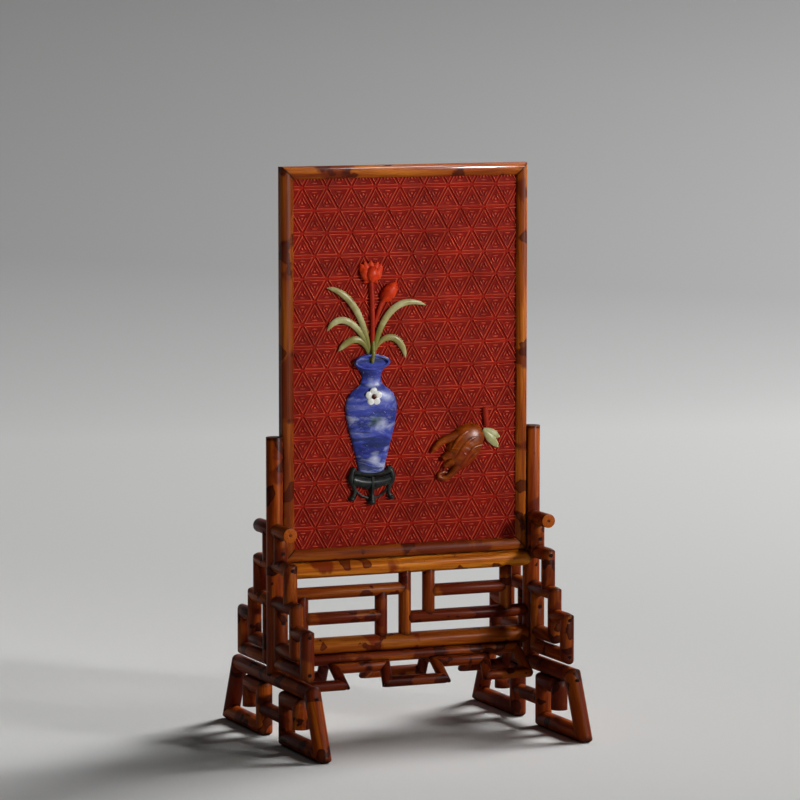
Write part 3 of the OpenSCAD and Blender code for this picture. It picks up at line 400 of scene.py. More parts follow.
# rounds the outer corner of each mitred end: the rings are drawn in along the mitre
def wearMitres(mesh, rod, radius):
    faces = sorted({f for v in rod for f in v.link_faces}, key=lambda f: f.index)
    axis = rodAxis(faces)
    ends = []
    for f in faces:
        way = axis if f.normal.dot(axis) > 0 else -axis
        slope = f.normal.dot(way)
        centre = f.calc_center_median_weighted()
        wide = max((v.co - centre - way * (v.co - centre).dot(way)).length for v in f.verts)
        wholeEnd = wide > wear["wide"] * mm and f.calc_area() > wear["full"] * wide * wide
        if wholeEnd and wear["slopes"][0] < slope < wear["slopes"][1]:
            outward = -(f.normal - way * slope).normalized()
            tip = max(v.co.dot(way) for v in f.verts)
            ends.append((way.copy(), outward, tip, math.asin(slope), centre, wide))
    for way, outward, tip, half, centre, wide in ends:
        reach = radius / math.tan(half)
        for share in wear["rings"]:
            edges = {e for v in rod for e in v.link_edges}
            around = {f for v in rod for f in v.link_faces}
            ringAt = way * (tip - reach * (1 - share))
            geometry = list(set(rod) | edges | around)
            cut = bmesh.ops.bisect_plane(mesh, geom=geometry, plane_co=ringAt, plane_no=way)
            rod = list(set(rod) | {g for g in cut["geom_cut"] if isinstance(g, bmesh.types.BMVert)})
        inward = -way * math.cos(half) - outward * math.sin(half)
        for v in rod:
            near = (v.co.dot(way) - tip) / reach + 1
            side = (v.co - centre).dot(outward) / wide
            if near > 0 and side > 0:
                v.co += inward * (wear["depth"] * radius * (1 / math.sin(half) - 1) * near * near * side)


# tone of single pieces, 0 dark to 1 light, partly their own colour and partly painted light and shade: the
# upper rail painted lighter against the frame's shade above it, the left moulding painted darker as shaded;
# the rest by chance
rodToneAndPaintedLight = dict(frame_left=0, frame_right=0.8, frame_top=0.45, frame_bottom=0.3, upper_rail=1, lower_rail=0,
                left_post=0.5, right_post=0.3, front_left_leg=0.7, front_right_leg=0, left_foot_beam=0.3)


# how far in from the panel's outer edge a point of a moulding lies: its mitred end falls back by as much
def mitreDepth(nodeName, point):
    if not nodeName.startswith("frame_"):
        return 0
    low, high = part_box(nodeName)
    return {"left": point.x - low[0], "right": high[0] - point.x, "bottom": point.z - low[2],
            "top": high[2] - point.z}[nodeName[6:]]


# mm and degrees: rounding of edges, radius of worn mitres, limits of merging and shading; square is the
# least cosine between a rod and the normal of its cut end
rodForm = dict(frameEdge=0.5, otherEdge=0.25, mitres=3.2, merge=0.002, flatten=0.5, sharp=40, smooth=35,
               square=0.97)


# bamboo rods: softened copies of the construction, each rod with its own lie of grain and a tone, which for
# a few pieces is painted light and shade
def dressRods(nodeName, body, seed, edgeWidth, worn):
    source = frame["nodes"][nodeName]
    piece = source.copy()
    piece.data = source.data.copy()
    piece.name = "rods_" + nodeName
    piece.data.name = piece.name
    piece.parent = None
    piece.matrix_world = Matrix.Identity(4)
    bpy.context.collection.objects.link(piece)
    onlySelect(piece)
    bpy.ops.object.mode_set(mode="EDIT")
    bpy.ops.mesh.select_all(action="SELECT")
    bpy.ops.mesh.remove_doubles(threshold=rodForm["merge"] * mm)
    bpy.ops.mesh.dissolve_limited(angle_limit=math.radians(rodForm["flatten"]))
    bpy.ops.mesh.normals_make_consistent(inside=False)
    bpy.ops.object.mode_set(mode="OBJECT")
    applyModifier(piece, "BEVEL", width=edgeWidth * mm, segments=2, limit_method="ANGLE",
                  angle_limit=math.radians(rodForm["sharp"]), use_clamp_overlap=True)
    rng = random.Random(seed)
    mesh = bmesh.new()
    mesh.from_mesh(piece.data)
    if worn:
        for rod in list(looseRods(mesh)):
            wearMitres(mesh, rod, worn * mm)
    grainLayer = mesh.verts.layers.float_vector.new("grain")
    toneLayer = mesh.verts.layers.float.new("tone")
    spanLayer = mesh.verts.layers.float_vector.new("span")
    cutLayer = mesh.faces.layers.float.new("cut")
    for rod in looseRods(mesh):
        faces = {f for v in rod for f in v.link_faces}
        along = rodAxis(faces)
        across = along.orthogonal().normalized()
        aside = along.cross(across)
        shift = Vector((rng.uniform(0, 3), rng.uniform(0, 3), rng.uniform(0, 3)))
        tone = rodToneAndPaintedLight.get(nodeName, rng.random())
        ends = [v.co.dot(along) for v in rod]
        half = (max(ends) - min(ends)) / 2
        middle = sum((v.co for v in rod), Vector()) / len(rod)
        middle += along * ((max(ends) + min(ends)) / 2 - middle.dot(along))
        for v in rod:
            p = v.co - middle
            v[spanLayer] = Vector((p.dot(along), half - mitreDepth(nodeName, v.co), 0))
            v[grainLayer] = Vector((p.dot(across), p.dot(aside), p.dot(along))) + shift
            v[toneLayer] = tone
        for f in faces:
            squareEnd = abs(f.normal.dot(along)) > rodForm["square"]
            f[cutLayer] = 1 if squareEnd and nodeName.endswith("fret_bars") else 0
    mesh.to_mesh(piece.data)
    mesh.free()
    smoothBy(piece, rodForm["smooth"])
    look = "waxed_bamboo" if nodeName == "frame_top" else None
    place(piece, body, slotOf[nodeName], nodeName, look=look)


for seed, name in enumerate(sorted(frame["nodes"])):
    if slotOf[name] in bambooLooks and name != "joint_pegs":
        if name.startswith("frame") or name.startswith("panel"):
            dressRods(name, "panel", seed, rodForm["frameEdge"], 0)
        else:
            dressRods(name, "stand", seed, rodForm["otherEdge"], rodForm["mitres"])
pegs = frame["nodes"]["joint_pegs"]
pegs.data.materials.clear()
pegs.data.materials.append(materials["peg_bamboo"])
print("bamboo rods dressed")

# brown pith a little inside the end of each free finger
pith = dict(wide=1.08, inside=0.12, deep=3, reach=29.6, up=146.8, edge=0.3)
pithLook = dict(stops=[(0.3, "#4a1f0a"), (0.6, "#7a3d16")], stretch=(900, 900, 900), fleck="#2a1008",
                fleckAt=0.6, gloss=0.6, shine=0.1)
materials["bamboo_pith"] = makeStone("bamboo_pith", pithLook)
plugs = []
for post in ("left_post", "right_post"):
    lowEnd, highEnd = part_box(post)
    for turn in (math.pi / 2, -math.pi / 2):
        bpy.ops.object.select_all(action="DESELECT")
        bpy.ops.mesh.primitive_cylinder_add(vertices=20, radius=pith["wide"] * mm, depth=pith["deep"] * mm)
        plug = bpy.context.active_object
        away = (pith["reach"] - pith["inside"] - pith["deep"] / 2) * mm
        middle = ((lowEnd.x + highEnd.x) / 2, -away if turn > 0 else away, pith["up"] * mm)
        plug.data.transform(Matrix.Translation(middle) @ Matrix.Rotation(turn, 4, "X"))
        applyModifier(plug, "BEVEL", width=pith["edge"] * mm, segments=2, limit_method="ANGLE")
        plugs.append(plug)
plug = joinAll(*plugs)
plug.name = plug.data.name = "finger_pith"
smoothBy(plug, rodForm["smooth"])
place(plug, "stand", "peg_bamboo", look="bamboo_pith")
print("pith set:", len(plugs), "plugs")

# red board: a plate, and a diaper of triangles with a raised rim, three bars and a dot in each, in mm
tile = dict(side=18.15, row=15.718, firstX=4.5, firstZ=146.8, groove=0.5, ridge=1.1, slope=0.32, rise=0.95,
            dish=1.6, barLong=5.2, barWide=1.4, barIn=3.1, barHigh=0.9, dot=1.1, ground=-1.15, under=2,
            lip=2.4, hand=0.05, sink=0.05, smooth=38, columns=12, rowPairs=9,
            barSteps=((0.25, 0.7), (0.2, 0.3)), dotSteps=((0.3, 0.7), (0.4, 0.22)))
low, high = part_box("lacquer_board")


# one triangle of the diaper, drawn in XY about its middle and facing up
def makeTile():
    bpy.ops.object.select_all(action="DESELECT")
    bpy.ops.mesh.primitive_circle_add(vertices=3, radius=tile["side"] / math.sqrt(3) * mm, fill_type="NGON")
    piece = bpy.context.active_object
    bpy.ops.object.mode_set(mode="EDIT")
    bpy.ops.mesh.select_all(action="SELECT")
    crest = tile["ridge"] / 2 - tile["slope"]
    # width of each step, and its climb as a share of the rise
    steps = [(tile["groove"], 0), (tile["slope"], 0.85), (crest, 0.15), (crest, -0.15),
             (tile["slope"], -0.5), (tile["dish"], -0.2)]
    for wide, climb in steps:
        bpy.ops.mesh.inset(thickness=wide * mm, depth=climb * tile["rise"] * mm)
    for turn in (0, 120, 240):
        bpy.ops.mesh.select_all(action="DESELECT")
        bpy.ops.mesh.primitive_circle_add(vertices=8, radius=1 * mm, fill_type="NGON")
        bpy.ops.transform.resize(value=(tile["barLong"] / 2, tile["barWide"] / 2, 1))
        for wide, climb in tile["barSteps"]:
            bpy.ops.mesh.inset(thickness=wide * mm, depth=climb * tile["barHigh"] * mm)
        away = tile["side"] / math.sqrt(12) - tile["barIn"]
        bpy.ops.mesh.select_linked()
        bpy.ops.transform.translate(value=(0, -away * mm, 0))
        bpy.ops.transform.rotate(value=math.radians(turn), orient_axis="Z", center_override=(0, 0, 0))
    bpy.ops.mesh.select_all(action="DESELECT")
    bpy.ops.mesh.primitive_circle_add(vertices=6, radius=tile["dot"] * mm, fill_type="NGON")
    for wide, climb in tile["dotSteps"]:
        bpy.ops.mesh.inset(thickness=wide * mm, depth=climb * mm)
    bpy.ops.object.mode_set(mode="OBJECT")
    return piece


def copyOf(piece, dx, dy, turn=0):
    twin = piece.copy()
    twin.data = piece.data.copy()
    twin.data.transform(Matrix.Translation((dx * mm, dy * mm, 0)) @ Matrix.Rotation(turn, 4, "Z"))
    bpy.context.collection.objects.link(twin)
    return twin


# keeps what lies behind each plane; planes are a point in mm and a direction
def trim(piece, planes, fill=False):
    onlySelect(piece)
    bpy.ops.object.mode_set(mode="EDIT")
    for point, outward in planes:
        bpy.ops.mesh.select_all(action="SELECT")
        bpy.ops.mesh.bisect(plane_co=[c * mm for c in point], plane_no=outward, clear_outer=True,
                            use_fill=fill)
    bpy.ops.object.mode_set(mode="OBJECT")


upTile = makeTile()
upTile.data.transform(Matrix.Diagonal((1, tile["row"] / (tile["side"] * math.sqrt(0.75)), 1, 1)))
third = tile["row"] / 3
downTile = copyOf(upTile, tile["side"] / 2, tile["row"] - third, math.pi)
upTile.data.transform(Matrix.Translation((0, third * mm, 0)))
diaper = joinAll(upTile, downTile)
applyModifier(diaper, "ARRAY", count=tile["columns"], use_relative_offset=False, use_constant_offset=True,
              constant_offset_displace=(tile["side"] * mm, 0, 0))
diaper = joinAll(diaper, copyOf(diaper, -tile["side"] / 2, tile["row"]))
applyModifier(diaper, "ARRAY", count=tile["rowPairs"], use_relative_offset=False, use_constant_offset=True,
              constant_offset_displace=(0, 2 * tile["row"] * mm, 0))
startX = tile["firstX"] + tile["side"] - tile["columns"] / 2 * tile["side"]
stand = Matrix.Translation((startX * mm, tile["ground"] * mm, (tile["firstZ"] - tile["row"]) * mm))
diaper.data.transform(stand @ Matrix.Rotation(math.pi / 2, 4, "X"))
onlySelect(diaper)
bpy.ops.object.mode_set(mode="EDIT")
bpy.ops.mesh.select_all(action="SELECT")
bpy.ops.transform.vertex_random(offset=tile["hand"] * mm, uniform=1, normal=0, seed=4)  # the carver's hand
bpy.ops.object.mode_set(mode="OBJECT")
inset = (tile["lip"] - tile["under"]) * mm  # the frame's rebate hides the lip
trim(diaper, [(((low.x + inset) / mm, 0, 0), (-1, 0, 0)),
              (((high.x - inset) / mm, 0, 0), (1, 0, 0)),
              ((0, 0, (low.z + inset) / mm), (0, 0, -1)),
              ((0, 0, (high.z - inset) / mm), (0, 0, 1))])
bpy.ops.object.select_all(action="DESELECT")
bpy.ops.mesh.primitive_cube_add(size=1)
plate = bpy.context.active_object
front = (tile["ground"] + tile["sink"]) * mm
plate.data.transform(Matrix.Translation((0, (front + high.y) / 2, (low.z + high.z) / 2))
                     @ Matrix.Diagonal((high.x - low.x, high.y - front, high.z - low.z, 1)))
board = joinAll(diaper, plate)
board.name = board.data.name = "lacquer_board_carved"
smoothBy(board, tile["smooth"])
place(board, "panel", "red_lacquer", "lacquer_board")
print("board carved:", len(board.data.polygons), "faces")

# ornaments, in mm across and up; they lie on the board's face
face = -2.16
stoneSmooth = 40
vaseAt = Vector((-26.1, 184.3))
mouthAt = vaseAt + Vector((0, 76.8))
citronAt = Vector((46, 197.9))


def shifted(origin, points):
    return [origin + Vector(p) for p in points]


def bezierAt(points, t):
    a, b, c, d = [Vector(p) for p in points]
    return (1 - t) ** 3 * a + 3 * t * (1 - t) ** 2 * b + 3 * t * t * (1 - t) * c + t ** 3 * d


# round strip of stone through points, thicker or thinner as it goes, flattened and cut off at the board
def carveStrip(points, radii, flat=0.7, lift=0.25, outs=None):
    data = bpy.data.curves.new("strip", "CURVE")
    data.dimensions = "3D"
    data.bevel_depth = mm
    data.bevel_resolution = 3
    data.resolution_u = 5
    data.use_fill_caps = True
    line = data.splines.new("BEZIER")
    line.bezier_points.add(len(points) - 1)
    for knot, (x, z), r, out in zip(line.bezier_points, points, radii, outs or [0] * len(points)):
        knot.co = (x * mm, -out / flat * mm, z * mm)
        knot.radius = r
        knot.handle_left_type = knot.handle_right_type = "AUTO"
    piece = bpy.data.objects.new("strip", data)
    bpy.context.collection.objects.link(piece)
    onlySelect(piece)
    bpy.ops.object.convert(target="MESH")
    piece = bpy.context.active_object
    middle = (face - lift * max(radii)) * mm
    piece.data.transform(Matrix.Translation((0, middle, 0)) @ Matrix.Diagonal((1, flat, 1, 1)))
    trim(piece, [((0, face, 0), (0, 1, 0))], fill=True)
    return piece


# small rounded lump, half sunk in what it sits on
def carveLump(x, z, wide, tall, deep, y=face):
    bpy.ops.object.select_all(action="DESELECT")
    bpy.ops.mesh.primitive_uv_sphere_add(segments=20, ring_count=12, radius=mm)
    piece = bpy.context.active_object
    piece.data.transform(Matrix.Translation((x * mm, y * mm, z * mm))
                         @ Matrix.Diagonal((wide, deep, tall, 1)))
    return piece


def finishOrnament(name, parts, slotName, nodeName, look=None):
    piece = joinAll(*parts)
    piece.name = piece.data.name = name
    onlySelect(piece)
    bpy.ops.object.mode_set(mode="EDIT")
    bpy.ops.mesh.select_all(action="SELECT")
    bpy.ops.mesh.normals_make_consistent(inside=False)
    bpy.ops.object.mode_set(mode="OBJECT")
    smoothBy(piece, stoneSmooth)
    place(piece, "panel", slotName, nodeName, look=look)


# vase: a half turned body pressed flat, and an open rim shown as if from above
vaseForm = dict(deep=5.2, rimWide=13.2, rimTall=5.7, rimFront=3.4, rimWall=2.1, rimEdge=0.6, hollow=2.2,
                profile=[(0, -1.2), (6, -1.1), (9.2, -0.4), (9.6, 1.5), (10.6, 6.5), (12.9, 15), (16, 26.8),
                         (18.2, 35), (19.3, 42), (19.5, 46.6), (18.4, 52.4), (14.5, 57.1), (10.4, 59.4),
                         (8.2, 61.6), (6.9, 65.2), (7.2, 68.4), (8.6, 71), (11.4, 73.6), (13.1, 76.2)])
data = bpy.data.meshes.new("vase")
line = [(r * mm, 0, z * mm) for r, z in vaseForm["profile"]]
data.from_pydata(line, [(i, i + 1) for i in range(len(line) - 1)], [])
body = bpy.data.objects.new("vase", data)
bpy.context.collection.objects.link(body)
onlySelect(body)
bpy.ops.object.mode_set(mode="EDIT")
bpy.ops.mesh.select_all(action="SELECT")
bpy.ops.mesh.spin(steps=36, angle=math.pi, center=(0, 0, 0), axis=(0, 0, 1))
bpy.ops.mesh.select_all(action="SELECT")
bpy.ops.mesh.remove_doubles(threshold=0.01 * mm)
bpy.ops.object.mode_set(mode="OBJECT")
widest = max(r for r, z in vaseForm["profile"])
body.data.transform(Matrix.Translation((vaseAt.x * mm, face * mm, vaseAt.y * mm))
                    @ Matrix.Diagonal((1, vaseForm["deep"] / widest, 1, 1)))
applyModifier(body, "SUBSURF", levels=1, render_levels=1)
bpy.ops.object.select_all(action="DESELECT")
bpy.ops.mesh.primitive_circle_add(vertices=48, radius=mm, fill_type="NGON")
rim = bpy.context.active_object
rim.data.transform(Matrix.Translation((mouthAt.x * mm, face * mm, mouthAt.y * mm))
                   @ Matrix.Rotation(math.pi / 2, 4, "X")
                   @ Matrix.Diagonal((vaseForm["rimWide"], vaseForm["rimTall"], 1, 1)))
bpy.ops.object.mode_set(mode="EDIT")
bpy.ops.mesh.select_all(action="SELECT")
forward = (0, -(vaseForm["rimFront"] - vaseForm["rimEdge"]) * mm, 0)
bpy.ops.mesh.extrude_region_move(TRANSFORM_OT_translate={"value": forward})
# width and climb of the lip's edge, its flat top and the hollow
rimSteps = [(0.5, vaseForm["rimEdge"]), (vaseForm["rimWall"] - 1, 0), (0.6, -vaseForm["hollow"])]
for wide, climb in rimSteps:
    bpy.ops.mesh.inset(thickness=wide * mm, depth=climb * mm)
bpy.ops.object.mode_set(mode="OBJECT")
finishOrnament("vase_lapis", [body, rim], "blue_stone", "vase")

# blossom on the vase's shoulder
blossom = dict(up=53, sink=0.93, ring=3.7, petals=5, petal=2.75, proud=0.9, bead=1.9, beadProud=1.6,
               beadOut=0.4)
blossomY = face - vaseForm["deep"] * blossom["sink"]
petals = []
for i in range(blossom["petals"]):
    turn = math.radians(360 / blossom["petals"] * i)
    across = vaseAt.x + blossom["ring"] * math.sin(turn)
    up = vaseAt.y + blossom["up"] + blossom["ring"] * math.cos(turn)
    petals.append(carveLump(across, up, blossom["petal"], blossom["petal"], blossom["proud"], blossomY))
finishOrnament("blossom_petals", petals, "white_stone", "vase_blossom")
bead = carveLump(vaseAt.x, vaseAt.y + blossom["up"], blossom["bead"], blossom["bead"], blossom["beadProud"],
                 blossomY - blossom["beadOut"])
finishOrnament("blossom_bead", [bead], "brown_stone", "blossom_centre")

# leaves that arch out of the mouth and meet in one stalk
leafForm = dict(wide=5, flat=0.62, steps=14, shares=(0, 0.12, 0.32, 0.55, 0.78, 0.92, 1),
                widths=(0.5, 0.56, 0.85, 1, 0.95, 0.66, 0.1))
leafCurves = {
    "long_leaf_left": [(-0.6, 1), (-3.4, 24), (-13, 50), (-33.2, 52.4)],
    "long_leaf_right": [(0.4, -3), (2.2, 21), (14, 50), (41, 38.2)],
    "middle_leaf_left": [(-1.8, 7), (-8, 27), (-24, 38), (-33, 22.5)],
    "short_leaf_left": [(-1.6, 5), (-7, 20), (-16, 18), (-24.6, 8.4)],
    "short_leaf_right": [(1.8, 7.5), (9.4, 22), (23, 19), (25.6, 2)],
}
steps = [i / leafForm["steps"] for i in range(leafForm["steps"] + 1)]
for name, curve in leafCurves.items():
    points = [mouthAt + bezierAt(curve, t) for t in steps]
    radii = [leafForm["wide"] / 2 * np.interp(t, leafForm["shares"], leafForm["widths"]) for t in steps]
    parts = [carveStrip(points, radii, leafForm["flat"])]
    if name == "long_leaf_right":  # its stalk steps over the rim into the mouth
        line = shifted(mouthAt, [(0.3, -2.6), (0.3, 2), (0.4, 5.4), (0.7, 9), (1.4, 14)])
        parts.append(carveStrip(line, [1.2, 1.25, 1.3, 1.4, 1.2], 0.8, outs=[0.8, 1.8, 2.8, 1.6, 0.2]))
    finishOrnament(name + "_jade", parts, "green_stone", name)

# red stems, flower and bud
stems = {  # line and radii
    "flower_stem": (shifted(mouthAt, [(0.5, 8), (0.9, 20), (0.7, 38), (-0.2, 56)]), [0.9, 1.6, 1.75, 1.9]),
    "bud_stem": (shifted(mouthAt, [(2, 24), (4.6, 32), (8.6, 42.6)]), [1.2, 1.5, 1.7]),
    "citron_stem": (shifted(citronAt, [(15.4, 14.8), (14.9, 20), (14, 28)]), [1.9, 2, 2.2]),
}
for name, (line, radii) in stems.items():
    finishOrnament(name + "_coral", [carveStrip(line, radii, 0.8)], "red_stone", name, look="deep_red_stone")


# petal from a foot, leaning by an angle from upright
def carvePetal(foot, length, wide, lean, flat=0.6, lift=0.25):
    way = Vector((math.sin(math.radians(lean)), math.cos(math.radians(lean))))
    # share of the length, share of the width
    shape = [(0, 0.25), (0.2, 0.72), (0.45, 1), (0.7, 0.86), (0.88, 0.5), (1, 0.06)]
    points = [foot + way * length * t for t, w in shape]
    return carveStrip(points, [wide / 2 * w for t, w in shape], flat, lift)


bloomFoot = mouthAt + Vector((-0.2, 55.6))
petals = [  # foot, length, width, lean, flatness, lift
    ((-2, 1.6), 12.4, 6.8, -28, 0.55, 0.2), ((2, 1.6), 12.4, 6.8, 28, 0.55, 0.2),
    ((-1.4, 1), 13.8, 6.2, -14, 0.6, 0.25), ((1.4, 1), 13.6, 6.2, 14, 0.6, 0.25),
    ((0, 0.6), 14.6, 6, -1, 0.6, 0.3), ((-2.4, 0.6), 10.6, 7, -20, 0.62, 0.45),
    ((2.4, 0.6), 10.6, 7, 20, 0.62, 0.45), ((0, 0), 11.2, 9.6, 0, 0.6, 0.6),
    ((0, 1), 7.8, 3.4, -72, 0.8, 0.3), ((0, 1), 7.8, 3.4, 72, 0.8, 0.3),
    ((0, 1.4), 6.2, 3, -106, 0.8, 0.3), ((0, 1.4), 6.2, 3, 106, 0.8, 0.3)]
parts = [carvePetal(bloomFoot + Vector(foot), *form) for foot, *form in petals]
finishOrnament("flower_bloom_coral", parts, "red_stone", "flower_bloom")
budFoot = mouthAt + Vector((8.3, 42))
budPetals = [(16.6, 10, 38, 0.75), (14, 4.6, 30, 0.8, 0.6), (8.6, 4.4, 8, 1), (8.6, 4.4, 68, 1)]
parts = [carvePetal(budFoot, *form) for form in budPetals]
finishOrnament("flower_bud_coral", parts, "red_stone", "flower_bud")

# dark stand under the vase: moulded rim, skirt with a scalloped edge, scrolled legs
legs = []
for side in (-1, 1):
    lines = [  # knee and scroll foot, ear, brace, two arches of the skirt
        ([(12.2, 3), (14.6, 0.2), (15.4, -5), (13.2, -10.6), (12.8, -14.6), (14.6, -18)],
         [1.5, 2.1, 2.3, 1.6, 1.3, 1.6], 0.9),
        ([(12, 2.4), (13.8, 2.6), (15.2, 1.4)], [1.2, 1.8, 1], 1.1),
        ([(12.6, -11), (9.4, -14.8), (5, -17.4), (1.5, -18.4)], [1, 0.9, 0.9, 1], 0.9),
        ([(13.6, -9.4), (11.4, -8.2), (8.6, -8), (6.4, -9.2)], [1.6, 1.3, 1.2, 1.3], 0.9),
        ([(6.6, -9.2), (4.6, -10.4), (2, -10.8)], [1.3, 1.3, 1.6], 0.9)]
    for line, radii, flat in lines:
        legs.append(carveStrip(shifted(vaseAt, [(side * x, z) for x, z in line]), radii, flat))
mouldings = [(0.6, 1.7, 1.5), (-2.4, 1, 2.6), (-5.4, 3.3, 0.75)]  # height, thickness and flatness
for z, thick, flat in mouldings:
    line = [(-13.8, z), (-8, z - 1.6), (0, z - 2.3), (8, z - 1.6), (13.8, z)]
    legs.append(carveStrip(shifted(vaseAt, line), [thick] * len(line), flat))
line = shifted(vaseAt, [(0, -3), (0, -9), (0, -15), (0, -20.5)])
legs.append(carveStrip(line, [2, 2.2, 1.7, 2.2], 1.5))
scrolls = [  # place across and up, width, height, depth
    (-14.8, -18.2, 2.4, 1.8, 3), (14.8, -18.2, 2.4, 1.8, 3), (0, -20.9, 3.1, 2.3, 4.2)]
for x, z, *size in scrolls:
    legs.append(carveLump(vaseAt.x + x, vaseAt.y + z, *size))
finishOrnament("vase_stand_dark", legs, "dark_stone", "vase_stand")

# finger citron: a domed body, smooth above and swirled below, and its fingers
citron = dict(deep=6, dome=2.4, ridgeHigh=0.12, ridgeGap=4.4, swirlAt=(-4.5, -4), swirlWide=13, rings=26,
              around=96, foldReach=15.5, foldSink=0.35,
              outline=[(-12.5, 6.5), (-10, 11), (-7.4, 14.2), (-2.9, 16.4), (3.3, 17.4), (7.8, 16.3),
                       (11.3, 13.7), (13.2, 8.7), (12.5, 3.1), (9.4, -3.9), (4.8, -9.3), (-0.5, -13.3),
                       (-5.9, -15.6), (-10.5, -13), (-13.5, -8.5), (-15.4, -3), (-14.8, 2)])
mesh = bmesh.new()
rings = []
for ring in range(citron["rings"] + 1):
    share = ring / citron["rings"]
    row = []
    for k in range(citron["around"]):
        t = k / citron["around"] * len(citron["outline"])
        i = int(t)
        a, b, c, d = [Vector(citron["outline"][(i + j) % len(citron["outline"])]) for j in (-1, 0, 1, 2)]
        u = t - i
        # smooth curve through the four neighbours
        edge = 2 * b + (c - a) * u + (2 * a - 5 * b + 4 * c - d) * u * u + (3 * b - a - 3 * c + d) * u ** 3
        edge = 0.5 * edge
        off = edge * share - Vector(citron["swirlAt"])
        swirl = math.sin(2 * math.pi * off.length / citron["ridgeGap"] + 2 * math.atan2(off.y, off.x))
        swirl *= max(0, 1 - (off.length / citron["swirlWide"]) ** 2) * (1 - share ** 6)
        rise = citron["deep"] * math.sqrt(max(0, 1 - share ** citron["dome"])) + citron["ridgeHigh"] * swirl
        p = citronAt + edge * share
        row.append(mesh.verts.new((p.x * mm, (face - max(rise, 0)) * mm, p.y * mm)))
    rings.append(row)
for inner, outer in zip(rings, rings[1:]):
    for k in range(citron["around"]):
        after = (k + 1) % citron["around"]
        mesh.faces.new((inner[k], inner[after], outer[after], outer[k]))
mesh.faces.new(rings[-1])
bmesh.ops.remove_doubles(mesh, verts=mesh.verts, dist=0.005 * mm)
data = bpy.data.meshes.new("citron")
mesh.to_mesh(data)
mesh.free()
fruit = bpy.data.objects.new("citron", data)
bpy.context.collection.objects.link(fruit)
fingers = [([(-6, 9.6), (-14.3, 7.2), (-20.5, 4.6), (-24.9, 0.4), (-27, -2.4)], [3.4, 2.9, 2.5, 1.9, 0.7]),
           ([(-8, -2), (-14, -4.4), (-18.6, -6.8)], [3.6, 3.2, 1.9]),
           ([(-6, -6), (-12, -9.8), (-17.4, -12.2)], [3.4, 2.8, 1.6]),
           ([(-4, -9), (-9.6, -15), (-14.8, -19.8), (-19.4, -20.4), (-21.4, -18.2), (-18.6, -16.4),
             (-15, -16.6)], [3.6, 2.9, 2, 1.7, 1.5, 1.3, 0.8])]
parts = [fruit] + [carveStrip(shifted(citronAt, line), radii, 0.9) for line, radii in fingers]
# carved folds that run over the dome towards the fingers
folds = [([(5, 13.6), (-2.6, 11), (-8.6, 6), (-12.4, 0)], 1.2),
         ([(9, 8.4), (1.6, 6.6), (-4, 2), (-7.6, -4), (-11.6, -7.6)], 1.3),
         ([(9.6, 2), (3.6, 0.4), (-0.6, -4), (-4, -9), (-8, -12.4)], 1.3),
         ([(6, -3), (1.6, -6.4), (-2.4, -11.6)], 1),
         ([(-0.6, 3.6), (-4.4, 0.4), (-4, -3.4), (-0.6, -3.6), (1.2, -0.4)], 0.8)]
for line, thick in folds:
    shares = [min(0.98, Vector(p).length / citron["foldReach"]) for p in line]
    outs = [citron["deep"] * math.sqrt(1 - s ** citron["dome"]) - citron["foldSink"] for s in shares]
    radii = [thick] + [thick * 1.1] * (len(line) - 2) + [thick * 0.7]
    parts.append(carveStrip(shifted(citronAt, line), radii, 0.7, 0, outs))
finishOrnament("citron_amber", parts, "amber_stone", "citron_fruit")
blades = [((13, 13), 14, 6, 117, 0.5), ((12.8, 12.6), 17.4, 6.8, 139, 0.5)]  # as the petals
parts = [carvePetal(citronAt + Vector(foot), *form) for foot, *form in blades]
finishOrnament("citron_leaf_jade", parts, "pale_green_stone", "citron_leaf")
print("ornaments carved")

# stage: pale floor that sweeps up behind
# the paper greys from front to top are painted falloff of light
sweep = dict(front=-5, back=1.9, bend=0.7, top=3, half=5, steps=12, smooth=40,
             paper=[(0, "#d9d9d7"), (0.48, "#cbcbca"), (0.76, "#a7a7a7"), (1, "#aeaeae")], unlit="#050505")
points = [(sweep["front"], 0), (sweep["back"], 0)]
for i in range(1, sweep["steps"] + 1):
    turn = math.pi / 2 * i / sweep["steps"]
    points.append((sweep["back"] + sweep["bend"] * math.sin(turn), sweep["bend"] * (1 - math.cos(turn))))
points.append((sweep["back"] + sweep["bend"], sweep["top"]))
data = bpy.data.meshes.new("sweep")
edges = [(i, i + 1) for i in range(len(points) - 1)]
data.from_pydata([(-sweep["half"], y, z) for y, z in points], edges, [])
floor = bpy.data.objects.new("sweep", data)
bpy.context.collection.objects.link(floor)
onlySelect(floor)
bpy.ops.object.mode_set(mode="EDIT")
bpy.ops.mesh.select_all(action="SELECT")
bpy.ops.mesh.extrude_region_move(TRANSFORM_OT_translate={"value": (2 * sweep["half"], 0, 0)})
bpy.ops.mesh.select_all(action="SELECT")
bpy.ops.mesh.normals_make_consistent(inside=False)
bpy.ops.object.mode_set(mode="OBJECT")
smoothBy(floor, sweep["smooth"])
material, tree, shader = startMaterial("paper_sweep", Roughness=0.9)
spot = addNode(tree, "TexCoord").outputs["Object"]
spot = addNode(tree, "SeparateXYZ", {"Vector": spot}).outputs
# painted falloff of light: the paper's grey is painted darker from the front floor to the top of the sweep,
# and a little darker to the right
aside = doMath(tree, "MULTIPLY_ADD", spot["X"], 0.25, spot["Y"])
reach = doMath(tree, "MULTIPLY_ADD", spot["Z"], 2, aside)
paper = colorRamp(tree, mapRange(tree, reach, 0.3, 3.6), sweep["paper"])
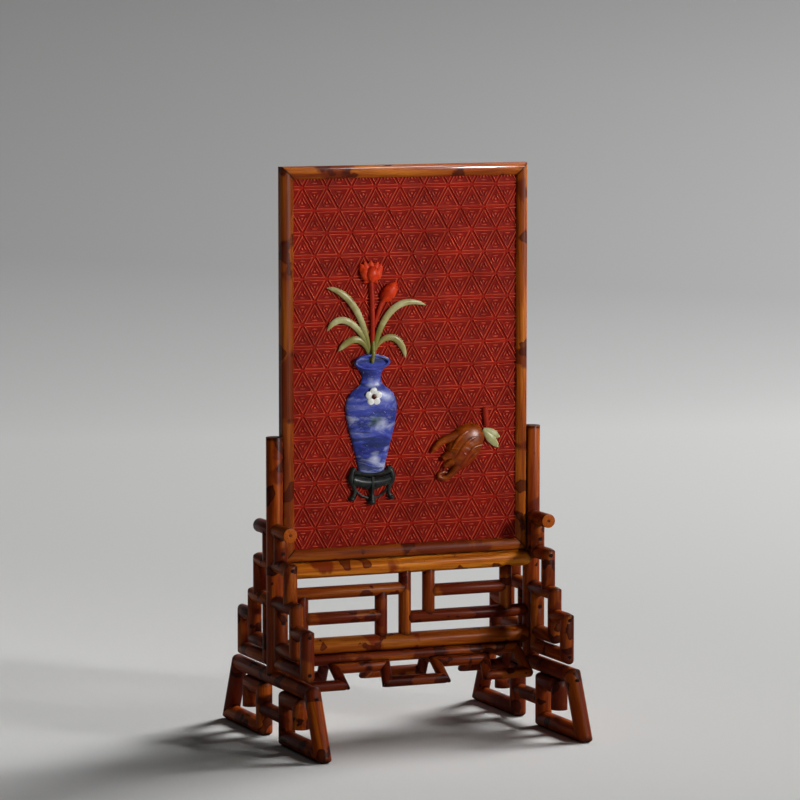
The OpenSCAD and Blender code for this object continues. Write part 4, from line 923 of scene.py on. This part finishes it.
# painted reflection: seen in polish, the paper in front and on the left is made dark, standing in for a dark
# room there, so polish doesn't mirror white paper there
ahead = mapRange(tree, spot["Y"], 0.1, 1.2, 0.92, 0)
left = mapRange(tree, spot["X"], -0.3, -1.5, 0, 0.9)
dark = doMath(tree, "MAXIMUM", ahead, left)
path = addNode(tree, "LightPath").outputs
hide = doMath(tree, "MULTIPLY", dark, path["Is Glossy Ray"])
paper = mixColor(tree, "MIX", hide, paper, hexColor(sweep["unlit"]))
# painted shade: the paper behind is made dark for bounced light only, so it throws little light back and the
# shadows keep their depth
behind = mapRange(tree, spot["Y"], 0.4, 1.4, 0, 0.7)
looked = doMath(tree, "ADD", path["Is Camera Ray"], path["Is Glossy Ray"])
bounce = doMath(tree, "SUBTRACT", 1, looked)
bounceDark = doMath(tree, "MULTIPLY", behind, bounce)
paper = mixColor(tree, "MIX", bounceDark, paper, hexColor(sweep["unlit"]))
tree.links.new(paper, shader.inputs["Base Color"])
floor.data.materials.append(material)

# soft studio light: strong from the right, a gridded one from the front that spares the floor, hardly any
# fill, and a strip for the shine on the frame's top edge alone; metres, watts, spread in degrees
lights = dict(
    right=dict(at=(4.5, 1.6, 3.9), aim=(0, 0, 0.15), size=2.2, watts=385),
    above=dict(at=(-1.2, 0.9, 3.0), aim=(0, 0, 0.15), size=2, watts=1.5),
    front=dict(at=(1.5, -2, 0.95), aim=(0, 0, 0.32), size=0.35, watts=0.78, spread=20),
    edge=dict(at=(1.08, -2.05, 2.25), aim=(0, 0, 0.39), size=1.2, tall=0.5, watts=36,
              only="rods_frame_top"),
)
for name, how in lights.items():
    data = bpy.data.lights.new(name, "AREA")
    data.shape = "RECTANGLE"
    data.size = how["size"]
    data.size_y = how.get("tall", how["size"])
    data.energy = how["watts"]
    data.spread = math.radians(how.get("spread", 180))
    lamp = bpy.data.objects.new(name, data)
    bpy.context.collection.objects.link(lamp)
    lamp.location = how["at"]
    if "only" in how:
        lit = bpy.data.collections.new(name)
        lit.objects.link(bpy.data.objects[how["only"]])
        lamp.light_linking.receiver_collection = lit
    lamp.rotation_euler = (Vector(how["aim"]) - Vector(how["at"])).to_track_quat("-Z", "Y").to_euler()
world = bpy.data.worlds.new("studio")
world.use_nodes = True
world.node_tree.nodes["Background"].inputs["Color"].default_value = hexColor("#ffffff")
world.node_tree.nodes["Background"].inputs["Strength"].default_value = 0.01
bpy.context.scene.world = world
bpy.context.scene.view_settings.view_transform = "Standard"

view = dict(at=(-1.1119, -2.6495, 0.5366), yaw=22.701, down=6.027, lens=186.64)
data = bpy.data.cameras.new("photo")
data.lens = view["lens"]
data.sensor_width = 36
data.clip_end = 50
camera = bpy.data.objects.new("photo", data)
bpy.context.collection.objects.link(camera)
camera.location = view["at"]
camera.rotation_euler = (math.radians(90 - view["down"]), 0, math.radians(-view["yaw"]))
bpy.context.scene.camera = camera
print("stage, light and camera set")
